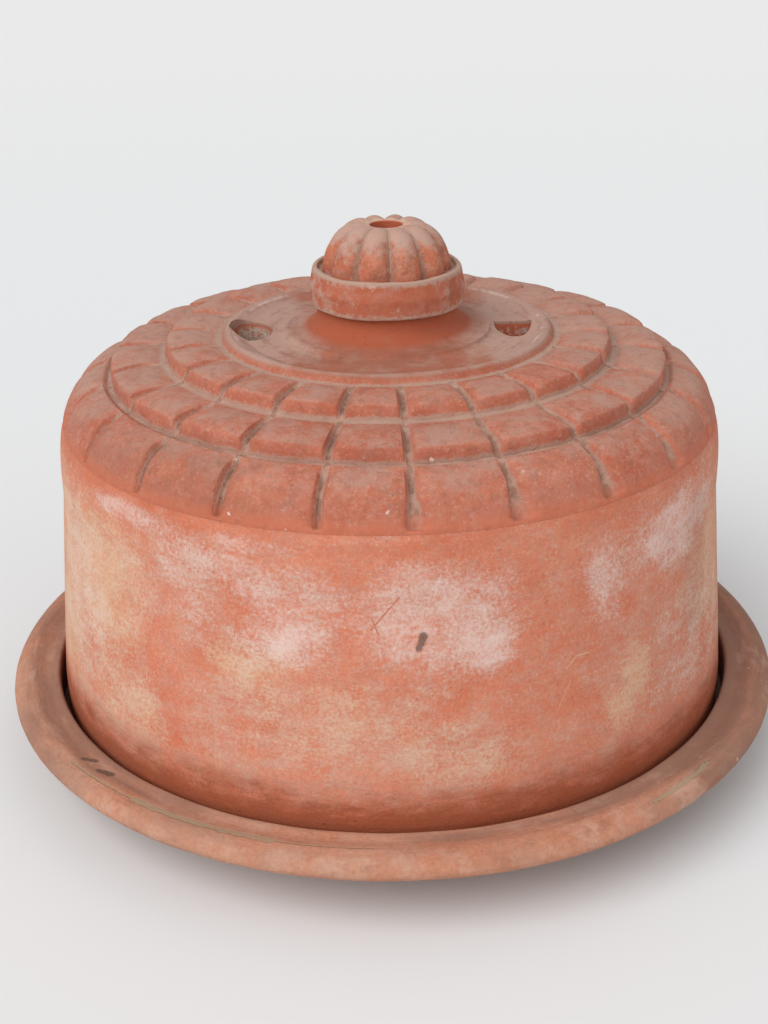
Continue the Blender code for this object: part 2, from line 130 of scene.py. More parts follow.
def uneven(wavers: tuple[Waver, ...], place: Vector) -> float:
    """How far several kinds of unevenness lift a place together."""
    return sum(waver.at(place) for waver in wavers)


def azimuth_of(at: Vector) -> float:
    """Azimuth of a place in degrees, from -Y towards +X."""
    return math.degrees(math.atan2(at.x, -at.y))


def at_azimuth(radius: float, azimuth: float, height: float) -> Vector:
    """Place at a radius, azimuth and height."""
    angle = math.radians(azimuth)
    return Vector((radius * math.sin(angle), -radius * math.cos(angle), height))


def placed(name: str, data: Any) -> bpy.types.Object:
    """Adds an object with this data to the scene."""
    item = bpy.data.objects.new(name, data)
    bpy.context.scene.collection.objects.link(item)
    return item


def meshed(name: str, shape: bmesh.types.BMesh) -> bpy.types.Object:
    """Turns a finished shape into an object of the scene."""
    mesh = bpy.data.meshes.new(name)
    shape.to_mesh(mesh)
    shape.free()
    return placed(name, mesh)


def oval_arc(centre: Vector, half_width: float, half_height: float, start: float, end: float, steps: int,
             squareness: float = 2.0) -> list[Vector]:
    """Points along an oval.

    Args:
        centre: Its middle.
        half_width: Half its width.
        half_height: Half its height.
        start: Angle of the first point, in degrees.
        end: Angle of the last point, in degrees.
        steps: Number of stretches between the points.
        squareness: 2 for an ellipse, and more for fuller corners.

    Returns:
        The points.
    """
    points = []
    for step in range(steps + 1):
        angle = math.radians(start + (end - start) * step / steps)
        across = math.copysign(abs(math.cos(angle)) ** (2 / squareness), math.cos(angle))
        up = math.copysign(abs(math.sin(angle)) ** (2 / squareness), math.sin(angle))
        points.append(centre + Vector((half_width * across, half_height * up)))
    return points


def operator(operation: str, reflected: bool = False) -> Callable[["Signal", "Signal | float"], "Signal"]:
    """An operator of signals.

    Args:
        operation: Blender's name for the sum.
        reflected: Whether the other value comes first.

    Returns:
        The method that does the sum.
    """
    def method(self: "Signal", other: "Signal | float") -> "Signal":
        """Does one sum with another value."""
        return self.graph.math(operation, *((other, self) if reflected else (self, other)))

    return method


class Signal:
    """A node's output that takes part in arithmetic."""

    __add__, __radd__ = operator("ADD"), operator("ADD", True)
    __sub__, __rsub__ = operator("SUBTRACT"), operator("SUBTRACT", True)
    __mul__, __rmul__ = operator("MULTIPLY"), operator("MULTIPLY", True)
    __pow__ = operator("POWER")
    larger, smaller = operator("MAXIMUM"), operator("MINIMUM")

    def __init__(self, graph: "Graph", socket: bpy.types.NodeSocket) -> None:
        """Wraps a socket of a graph."""
        self.graph = graph
        self.socket = socket

    def __abs__(self) -> "Signal":
        """Drops the sign."""
        return self.graph.math("ABSOLUTE", self)

    def step(self, low: float, high: float) -> "Signal":
        """Rises smoothly from 0 at low to 1 at high, or falls where high is the lower."""
        ends = (low, high, 0.0, 1.0) if high > low else (high, low, 1.0, 0.0)
        inputs = dict(zip(("From Min", "From Max", "To Min", "To Max"), ends), Value=self)
        node = self.graph.add("ShaderNodeMapRange", {"interpolation_type": "SMOOTHSTEP"}, inputs)
        return Signal(self.graph, node.outputs[0])


Coat = tuple[Tone, Signal]


class Graph:
    """A material's nodes, with short calls for the ones that clay needs."""

    def __init__(self, name: str) -> None:
        """Starts a material with its principled shader and the place on the object in millimetres."""
        self.material = bpy.data.materials.new(name)
        self.material.use_nodes = True
        self.tree = self.material.node_tree
        self.shader = self.tree.nodes["Principled BSDF"]
        place = self.add("ShaderNodeTexCoord").outputs["Object"]
        self.place = self.vector("SCALE", place, scale=1.0 / MM)
        parts = self.add("ShaderNodeSeparateXYZ", inputs={0: self.place}).outputs
        self.x, self.y, self.z = (Signal(self, part) for part in parts)
        self.radius = (self.x * self.x + self.y * self.y) ** 0.5

    def add(self, kind: str, settings: dict[str, Any] | None = None,
            inputs: dict[int | str, Any] | None = None) -> bpy.types.Node:
        """Adds one node.

        Args:
            kind: Blender's name for the node's type.
            settings: Its properties, which are set first.
            inputs: Values, sockets, tones or signals for its inputs, by name or number.

        Returns:
            The new node.
        """
        node = self.tree.nodes.new(kind)
        for key, value in (settings or {}).items():
            setattr(node, key, value)
        for key, value in (inputs or {}).items():
            self.feed(node.inputs[key], value)
        return node

    def feed(self, socket: bpy.types.NodeSocket, value: Any) -> None:
        """Links a signal or socket to an input, or sets its number or tone."""
        if isinstance(value, Tone):
            value = value.rgba
        if isinstance(value, Signal):
            value = value.socket
        if isinstance(value, bpy.types.NodeSocket):
            self.tree.links.new(value, socket)
        else:
            socket.default_value = value

    def math(self, operation: str, *values: "Signal | float") -> Signal:
        """Does one sum."""
        node = self.add("ShaderNodeMath", {"operation": operation}, dict(enumerate(values)))
        return Signal(self, node.outputs[0])

    def vector(self, operation: str, first: Any, second: Any = None, scale: float | None = None) -> Any:
        """Does one sum on vectors and returns its vector socket."""
        inputs = {0: first}
        if second is not None:
            inputs[1] = second
        if scale is not None:
            inputs["Scale"] = scale
        return self.add("ShaderNodeVectorMath", {"operation": operation}, inputs).outputs[0]

    def combine(self, x: Any, y: Any, z: Any) -> bpy.types.NodeSocket:
        """A vector from three values."""
        return self.add("ShaderNodeCombineXYZ", inputs={0: x, 1: y, 2: z}).outputs[0]

    def grain(self, size_mm: float, detail: float = 3.0, roughness: float = 0.55, seed: float = 0.0,
              place: Any = None) -> Signal:
        """Layered noise from 0 to 1, mostly near a half.

        Args:
            size_mm: Size of its largest grains, in millimetres.
            detail: Number of finer layers.
            roughness: Strength of the finer layers.
            seed: Shift that gives another pattern.
            place: Vector to read it at, or the place on the object.

        Returns:
            The noise.
        """
        at = self.place if place is None else place
        if seed:
            at = self.vector("ADD", at, (seed * 31.0, seed * 17.0, seed * -23.0))
        node = self.add("ShaderNodeTexNoise", {}, {"Vector": at, "Scale": 1.0 / size_mm, "Detail": detail,
                                                   "Roughness": roughness})
        return Signal(self, node.outputs[0])

    def layered(self, size_mm: float, flatten: float = 1.0, seed: float = 0.0, detail: float = 4.0,
                roughness: float = 0.65) -> Signal:
        """Noise whose grains are drawn out round the piece, as a turning hand leaves them.

        Args:
            size_mm: Height of the grains, in millimetres.
            flatten: Share of the sideways frequency that is kept.
            seed: Shift that gives another pattern.
            detail: Number of finer layers.
            roughness: Strength of the finer layers.

        Returns:
            The noise.
        """
        place = self.combine(self.x * flatten, self.y * flatten, self.z)
        return self.grain(size_mm, detail, roughness, seed, place)

    def swept(self, size_mm: float, seed: float = 0.0) -> Signal:
        """Noise that is drawn out round the piece and changes quickly across a rim."""
        place = self.combine(self.x * 0.12, self.y * 0.12, self.radius * 0.8 + self.z * 0.6)
        return self.grain(size_mm, 5.0, 0.68, seed, place)

    def specks(self, spacing_mm: float, size_mm: float, seed: float = 0.0) -> Signal:
        """Ragged dots scattered at a spacing, 1 inside them and 0 outside."""
        at = self.vector("ADD", self.place, (seed * 13.0, seed * 29.0, seed * 7.0))
        node = self.add("ShaderNodeTexVoronoi", {"feature": "F1"}, {"Vector": at, "Scale": 1.0 / spacing_mm})
        radius = size_mm / spacing_mm
        ragged = Signal(self, node.outputs["Distance"]) + (self.grain(size_mm, 2.0) - 0.5) * radius * 1.6
        return ragged.step(radius, radius * 0.6)

    def painted(self, name: str) -> Signal:
        """A value that was painted on the mesh's vertices."""
        node = self.add("ShaderNodeAttribute", {"attribute_name": name, "attribute_type": "GEOMETRY"})
        return Signal(self, node.outputs["Fac"])

    def facing_up(self) -> Signal:
        """How far the surface faces upwards, from -1 to 1."""
        normal = self.add("ShaderNodeNewGeometry").outputs["Normal"]
        return Signal(self, self.add("ShaderNodeSeparateXYZ", inputs={0: normal}).outputs[2])

    def arc(self, radius_mm: float) -> Signal:
        """Distance round the piece from its front, in millimetres at a radius."""
        return self.math("ARCTAN2", self.x, self.y * -1.0) * radius_mm

    def mix(self, first: Any, second: Any, share: "Signal | float", blend: str = "MIX") -> bpy.types.NodeSocket:
        """Mixes two colours.

        Args:
            first: Colour or tone at a share of 0.
            second: Colour or tone at a share of 1.
            share: How much of the second.
            blend: Blender's name for the way they mix.

        Returns:
            The colour's socket.
        """
        settings = {"data_type": "RGBA", "blend_type": blend}
        return self.add("ShaderNodeMix", settings, {0: share, 6: first, 7: second}).outputs[2]

    def shade(self, colour: Any, level: Signal) -> bpy.types.NodeSocket:
        """Makes a colour lighter or darker by a factor near 1."""
        return self.mix(colour, self.combine(level, level, level), 1.0, "MULTIPLY")

    def lay(self, colour: Any, *coats: Coat) -> Any:
        """Lays tones over a colour, one after another, each where its signal says.

        Args:
            colour: Colour or tone under them all.
            coats: Tones with how much each of them covers, from the lowest up.

        Returns:
            The colour's socket.
        """
        for tone, share in coats:
            colour = self.mix(colour, tone, share)
        return colour

    def dress(self, piece: bpy.types.Object, colour: Any, roughness: Signal | float, height_mm: Signal) -> None:
        """Connects the shader and puts the material on a piece.

        Args:
            piece: Object that gets the material.
            colour: Base colour.
            roughness: How rough the surface is.
            height_mm: Fine relief, in millimetres.
        """
        bump = self.add("ShaderNodeBump", {}, {"Strength": 1.0, "Distance": MM, "Height": height_mm})
        self.feed(self.shader.inputs["Base Color"], colour)
        self.feed(self.shader.inputs["Roughness"], roughness)
        self.feed(self.shader.inputs["Normal"], bump.outputs[0])
        self.shader.inputs["Specular IOR Level"].default_value = 0.25
        piece.data.materials.clear()
        piece.data.materials.append(self.material)


@dataclass(frozen=True)
class FiredClay:
    """The bare clay under everything else: tones that drift into each other, with sand in it."""

    light: Tone = Tone.CLAY
    dark: Tone = Tone.DEEP
    rose: Tone = Tone.ROSE
    drift_mm: float = 26.0
    mottle_mm: float = 6.0
    sand_mm: float = 0.8
    relief_mm: float = 0.1

    def colour(self, graph: Graph) -> bpy.types.NodeSocket:
        """The clay's own colour."""
        drift = graph.grain(self.drift_mm, 2.0).step(0.36, 0.64)
        mottle = graph.grain(self.mottle_mm, 5.0, 0.65, 3.0).step(0.36, 0.66)
        body = graph.mix(self.light, self.dark, drift * 0.5 + mottle * 0.45)
        pale = graph.grain(self.mottle_mm * 0.55, 6.0, 0.7, 7.0).step(0.44, 0.66)
        body = graph.mix(body, self.rose, pale * 0.65)
        sand = graph.grain(self.sand_mm, 4.0, 0.75, 1.0)
        return graph.shade(body, 0.66 + sand * 0.68)

    def height(self, graph: Graph) -> Signal:
        """Sandy relief with small pits, in millimetres."""
        coarse = graph.grain(2.4, 3.0, 0.6, 2.0) * self.relief_mm * 1.6
        sand = graph.grain(self.sand_mm * 0.6, 3.0, 0.7, 5.0) * self.relief_mm
        pits = graph.specks(2.6, 0.45, 4.0) * graph.grain(9.0, 1.0, 0.5, 6.0).step(0.5, 0.62)
        return coarse + sand - pits * (self.relief_mm * 1.2)

    def roughness(self, graph: Graph) -> Signal:
        """Nearly matt, with slightly smoother places."""
        return 0.78 + graph.grain(6.0, 3.0, 0.6, 8.0) * 0.2


@dataclass(frozen=True)
class Mark:
    """A thin straight mark between two places on an unrolled surface, in millimetres."""

    start: tuple[float, float]
    end: tuple[float, float]
    half_width: float

    def drawn(self, across: Signal, along: Signal, wobble: Signal | None = None) -> Signal:
        """Draws the mark.

        Args:
            across: First coordinate of the unrolled surface.
            along: Second coordinate.
            wobble: Noise that makes its edge uneven.

        Returns:
            1 on the mark and 0 away from it.
        """
        run = Vector(self.end) - Vector(self.start)
        ahead = run.normalized()
        right, up = across - self.start[0], along - self.start[1]
        reach = (right * ahead.x + up * ahead.y).larger(0.0).smaller(run.length)
        off_right, off_up = right - reach * ahead.x, up - reach * ahead.y
        distance = (off_right * off_right + off_up * off_up) ** 0.5
        if wobble is not None:
            distance = distance + (wobble - 0.5) * (self.half_width * 2.4)
        return distance.step(self.half_width * 1.3, self.half_width * 0.6)


def drawn(marks: tuple[Mark, ...], across: Signal, along: Signal, wobble: Signal | None = None) -> Signal:
    """1 on any of the marks and 0 away from them all."""
    return reduce(Signal.larger, [mark.drawn(across, along, wobble) for mark in marks])


@dataclass(frozen=True)
class Patch:
    """A soft-edged stain on the bell's wall."""

    azimuth: float
    height_mm: float
    half_width: float
    half_height_mm: float
    strength: float

    def amount(self, azimuth: float, height_mm: float) -> float:
        """How strong the stain is at an azimuth in degrees and a height in millimetres."""
        across = (azimuth - self.azimuth + 180.0) % 360.0 - 180.0
        off = math.hypot(across / self.half_width, (height_mm - self.height_mm) / self.half_height_mm)
        return self.strength * smooth_step(1.5, 0.2, off)


def patches(*rows: tuple[float, float, float, float, float]) -> tuple[Patch, ...]:
    """Patches from rows of azimuth, height, half width, half height and strength."""
    return tuple(Patch(*row) for row in rows)


@dataclass(frozen=True)
class Corner:
    """A corner of a half section, with the round that replaces it and the spacing of points up to it."""

    radius: float
    height: float
    fillet: float = 0.0
    spacing: float = 0.003
    course: float = 0.0

    @property
    def place(self) -> Vector:
        """The corner as a flat vector."""
        return Vector((self.radius, self.height))


class Section:
    """A half section that is turned into a solid of revolution, as (place, course) points."""

    FILLET_STEPS = 6

    def __init__(self, corners: list[Corner], closed: bool) -> None:
        """Rounds the corners and spaces points along the straight stretches."""
        self.closed = closed
        self.points: list[tuple[Vector, float]] = []
        for index, corner in enumerate(corners):
            end = not closed and index in (0, len(corners) - 1)
            before, after = corners[index - 1].place, corners[(index + 1) % len(corners)].place
            rounded = [corner.place] if end or not corner.fillet else self.fillet(before, corner, after)
            if self.points:
                self.stretch(rounded[0], corner.spacing)
            self.points += [(point, corner.course) for point in rounded]
        if closed:
            self.stretch(self.points[0][0], corners[0].spacing)

    def fillet(self, before: Vector, corner: Corner, after: Vector) -> list[Vector]:
        """Points of the round at one corner."""
        back, ahead = before - corner.place, after - corner.place
        opening = back.angle(ahead)
        reach = min(corner.fillet / math.tan(opening / 2), 0.48 * back.length, 0.48 * ahead.length)
        start = corner.place + back.normalized() * reach
        end = corner.place + ahead.normalized() * reach
        depth = reach * math.tan(opening / 2) / math.sin(opening / 2)
        centre = corner.place + (back.normalized() + ahead.normalized()).normalized() * depth
        spoke = start - centre
        turn = spoke.angle_signed(end - centre)
        return [centre + Matrix.Rotation(-turn * step / self.FILLET_STEPS, 2) @ spoke
                for step in range(self.FILLET_STEPS + 1)]

    def stretch(self, end: Vector, spacing: float) -> None:
        """Adds evenly spaced points from the last one up to, but not at, the next."""
        start = self.points[-1][0]
        pieces = max(1, math.ceil((end - start).length / spacing))
        self.points += [(start.lerp(end, step / pieces), 0.0) for step in range(1, pieces)]

    def clip(self, height: float, above: bool) -> "Section":
        """Keeps what lies above or below a level, closed by an edge at that level."""
        kept: list[tuple[Vector, float]] = []
        for (before, _), (point, course) in zip(self.points[-1:] + self.points[:-1], self.points):
            if (before.y > height) != (point.y > height):
                crossing = before.lerp(point, (height - before.y) / (point.y - before.y))
                kept.append((crossing, course))
            if (point.y > height) == above:
                kept.append((point, course))
        self.points = kept
        return self


@dataclass(frozen=True)
class BellForm:
    """Sizes of the outer bell, which its wall, crown, liner and knob share."""

    foot_radius: float = 0.078
    foot_height: float = 0.0083
    foot_round: float = 0.003
    lean_start: float = 0.019
    lean: float = 0.0905
    wall: float = 0.005
    crown: float = 0.0056
    seam: float = 0.0786
    shoulder_start: float = 0.0638
    shoulder_top: float = 0.0883
    shoulder_inset: float = 0.0026
    shoulder_squareness: float = 2.9
    shoulder_first: float = 81.0
    inner_shoulder_round: float = 0.012
    inner_shoulder_drop: float = 0.0024
    inner_ring: tuple[float, float] = (0.0373, 0.0948)
    middle_ring: tuple[float, float] = (0.0498, 0.0918)
    outer_ring: tuple[float, float] = (0.0616, 0.0874)
    groove_floor: float = 0.0008
    reliefs: tuple[float, float] = (0.0027, 0.003)
    tile_crest: float = 0.86
    tile_rise: float = 1.9
    tile_fall: float = 1.5
    lip_radius: float = 0.0355
    lip_height: float = 0.0968
    gutter_outer: float = 0.0315
    gutter_inner: float = 0.0245
    gutter_floor: float = 0.0951
    step_radius: float = 0.0227
    step_height: float = 0.001
    neck_radius: float = 0.0155
    neck_top: float = 0.102
    neck_squareness: float = 2.9
    neck_bore: float = 0.009
    joint_gap: float = 0.0003
    smaller: float = 0.00018
    wavers: tuple[Waver, ...] = (Waver(0.0002, 0.06, 1.0), Waver(0.00008, 0.014, 2.0))

    @property
    def rings(self) -> list[Vector]:
        """Bottoms of the ring grooves, from the neck outwards."""
        return [Vector(ring) for ring in (self.inner_ring, self.middle_ring, self.outer_ring)]

    def radius_at(self, height: float, inset: float = 0.0) -> float:
        """Radius of the wall at a height, moved in by a thickness."""
        return self.foot_radius - self.lean * max(height - self.lean_start, 0.0) - inset

    def rise(self, share: float) -> float:
        """Height of a tile at a share of its width: a slow rise and a short fall at its outer edge."""
        if share < self.tile_crest:
            return 1.0 - (1.0 - max(share, 0.0) / self.tile_crest) ** self.tile_rise
        return 1.0 - (min((share - self.tile_crest) / (1.0 - self.tile_crest), 1.0)) ** self.tile_fall

    def tile_rows(self) -> list[Corner]:
        """The two inner courses of tiles and the narrow floors of the grooves between them."""
        corners = []
        shares = [self.tile_crest * (step / 12) ** 1.3 for step in range(12)]
        shares += [self.tile_crest + (1.0 - self.tile_crest) * step / 9 for step in range(10)]
        courses = zip(self.rings, self.rings[1:], self.reliefs)
        for course, (inner, outer, relief) in enumerate(courses, start=1):
            along = (outer - inner).normalized()
            outward = Vector((-along.y, along.x))
            start, end = inner + along * self.groove_floor / 2, outer - along * self.groove_floor / 2
            for share in shares:
                point = start.lerp(end, share) + outward * relief * self.rise(share)
                corners.append(Corner(*point, course=course + min(share, 0.999)))
        return corners

    def shoulder(self) -> list[Corner]:
        """The outermost course and the rounded shoulder, a squarish quarter oval."""
        centre = Vector((self.outer_ring[0] - self.shoulder_inset, self.shoulder_start))
        quarter = oval_arc(centre, self.radius_at(self.shoulder_start) - centre.x,
                           self.shoulder_top - self.shoulder_start, self.shoulder_first, 0.0, 60,
                           self.shoulder_squareness)
        ring = self.rings[-1] + Vector((self.groove_floor / 2, 0.0))
        return [Corner(*ring, course=3.0)] + [Corner(*point, spacing=0.0006, course=3.0 + (step + 1) / 70.0)
                                              for step, point in enumerate(quarter)]

    def section(self) -> Section:
        """Closed half section of the crown and wall, down the outside and back up the inside."""
        ceiling = self.gutter_floor - self.crown
        flare_foot = self.gutter_floor + self.step_height
        flare = oval_arc(Vector((self.step_radius, self.neck_top)), self.step_radius - self.neck_radius,
                         self.neck_top - flare_foot, 180.0, 270.0, 14, self.neck_squareness)
        corners = [Corner(self.neck_bore, self.neck_top)] + [Corner(*point) for point in flare]
        corners += [
            Corner(self.step_radius + 0.0004, self.gutter_floor + self.step_height * 0.3, 0.0003),
            Corner(self.gutter_inner, self.gutter_floor, 0.0008, 0.0006),
            Corner(self.gutter_outer, self.gutter_floor, 0.004, 0.0012),
            Corner(self.lip_radius, self.lip_height, 0.0012, 0.0008),
            Corner(self.inner_ring[0] - 0.0004, self.inner_ring[1], 0.0003, 0.0004),
        ]
        corners += self.tile_rows() + self.shoulder()
        corner_height = self.outer_ring[1] - self.crown - self.inner_shoulder_drop
        corners += [
            Corner(self.foot_radius, self.lean_start, 0.0, 0.0025),
            Corner(self.foot_radius, self.foot_height, self.foot_round, 0.0025),
            Corner(self.radius_at(self.foot_height, self.wall), self.foot_height, 0.0006),
            Corner(self.radius_at(self.lean_start, self.wall), self.lean_start, 0.0, 0.012),
            Corner(self.radius_at(corner_height, self.wall), corner_height, self.inner_shoulder_round, 0.012),
            Corner(self.inner_ring[0], ceiling, 0.0, 0.008),
            Corner(self.neck_bore, ceiling, 0.0, 0.008),
        ]
        return Section(corners, True)

    def waver(self, place: Vector) -> float:
        """How far a place is off the true circle: out of round, with faint throwing rings."""
        return uneven(self.wavers, place) - self.smaller


Shaped = tuple[Vector, dict[str, float]]


@dataclass
class TurnedPiece:
    """A member thrown on the wheel: a half section that is spun, then shaped and painted point by point."""

    name: str = "turned_piece"
    node: str = "node"
    body: str = "cloche"
    clay_slot: str = "slot"
    form: BellForm = BellForm()
    steps: int = 120
    paints: tuple[str, ...] = ()
    sharp_degrees: float = 42.0
    crowding: float = 0.0

    def section(self) -> Section:
        """The half section. Each member gives its own."""
        raise NotImplementedError

    def spread(self, share: float) -> float:
        """Azimuth in degrees of a meridian, from its share of the full turn."""
        return 360.0 * share

    def crowded(self, column: float) -> float:
        """Moves a meridian towards the nearest whole column."""
        return column - self.crowding * math.sin(2 * math.pi * column) / (2 * math.pi)

    def shaped(self, at: Vector, azimuth: float, course: float) -> Shaped:
        """Moves one point by hand and says what is painted there.

        Args:
            at: The point as (radius, height).
            azimuth: Its azimuth in degrees.
            course: The course of tiles or the angle up the dome that the section gives there.

        Returns:
            The moved (radius, height), and the painted values by name.
        """
        return at, {}

    def cuts(self) -> list[bpy.types.Object]:
        """Knives that cut the finished mesh."""
        return []

    def build(self) -> bpy.types.Object:
        """Throws, shapes, cuts and places the member."""
        shape = self.spun()
        layers = {paint: shape.verts.layers.float.new(paint) for paint in self.paints}
        course_layer = shape.verts.layers.float[COURSE]
        for vert in shape.verts:
            azimuth = self.spread((azimuth_of(vert.co) / 360.0) % 1.0)
            place = Vector((math.hypot(vert.co.x, vert.co.y), vert.co.z))
            moved, painted = self.shaped(place, azimuth, vert[course_layer])
            vert.co = at_azimuth(max(moved.x, 0.0), azimuth, moved.y)
            for paint, value in painted.items():
                vert[layers[paint]] = value
        piece = meshed(self.name, shape)
        self.cut(piece)
        piece.data.shade_smooth()
        piece.data.set_sharp_from_angle(angle=math.radians(self.sharp_degrees))
        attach(piece, self.body)
        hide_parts(self.node)
        LOG.info("%s has %d faces", self.name, len(piece.data.polygons))
        return piece

    def spun(self) -> bmesh.types.BMesh:
        """The section spun about the vertical axis, welded and with its faces out."""
        section = self.section()
        shape = bmesh.new()
        course_layer = shape.verts.layers.float.new(COURSE)
        verts = []
        for point, course in section.points:
            vert = shape.verts.new((0.0, -point.x, point.y))
            vert[course_layer] = course
            verts.append(vert)
        for first, second in zip(verts, verts[1:]):
            shape.edges.new((first, second))
        if section.closed:
            shape.edges.new((verts[-1], verts[0]))
        bmesh.ops.spin(shape, geom=shape.verts[:] + shape.edges[:], cent=(0.0, 0.0, 0.0), dvec=(0.0, 0.0, 0.0),
                       axis=(0.0, 0.0, 1.0), angle=2 * math.pi, steps=self.steps, use_merge=True,
                       use_normal_flip=False, use_duplicate=False)
        bmesh.ops.remove_doubles(shape, verts=shape.verts, dist=WELD)
        bmesh.ops.recalc_face_normals(shape, faces=shape.faces)
        return shape

    def cut(self, piece: bpy.types.Object) -> None:
        """Cuts the piece with its knives and clears them away."""
        knives = self.cuts()
        if not knives:
            return
        for knife in knives:
            boolean = piece.modifiers.new(knife.name, "BOOLEAN")
            boolean.operation, boolean.solver, boolean.object = "DIFFERENCE", "EXACT", knife
        bpy.context.view_layer.update()
        depsgraph = bpy.context.evaluated_depsgraph_get()
        piece.data = bpy.data.meshes.new_from_object(piece.evaluated_get(depsgraph))
        piece.data.name = self.name
        piece.modifiers.clear()
        for knife in knives:
            bpy.data.objects.remove(knife, do_unlink=True)


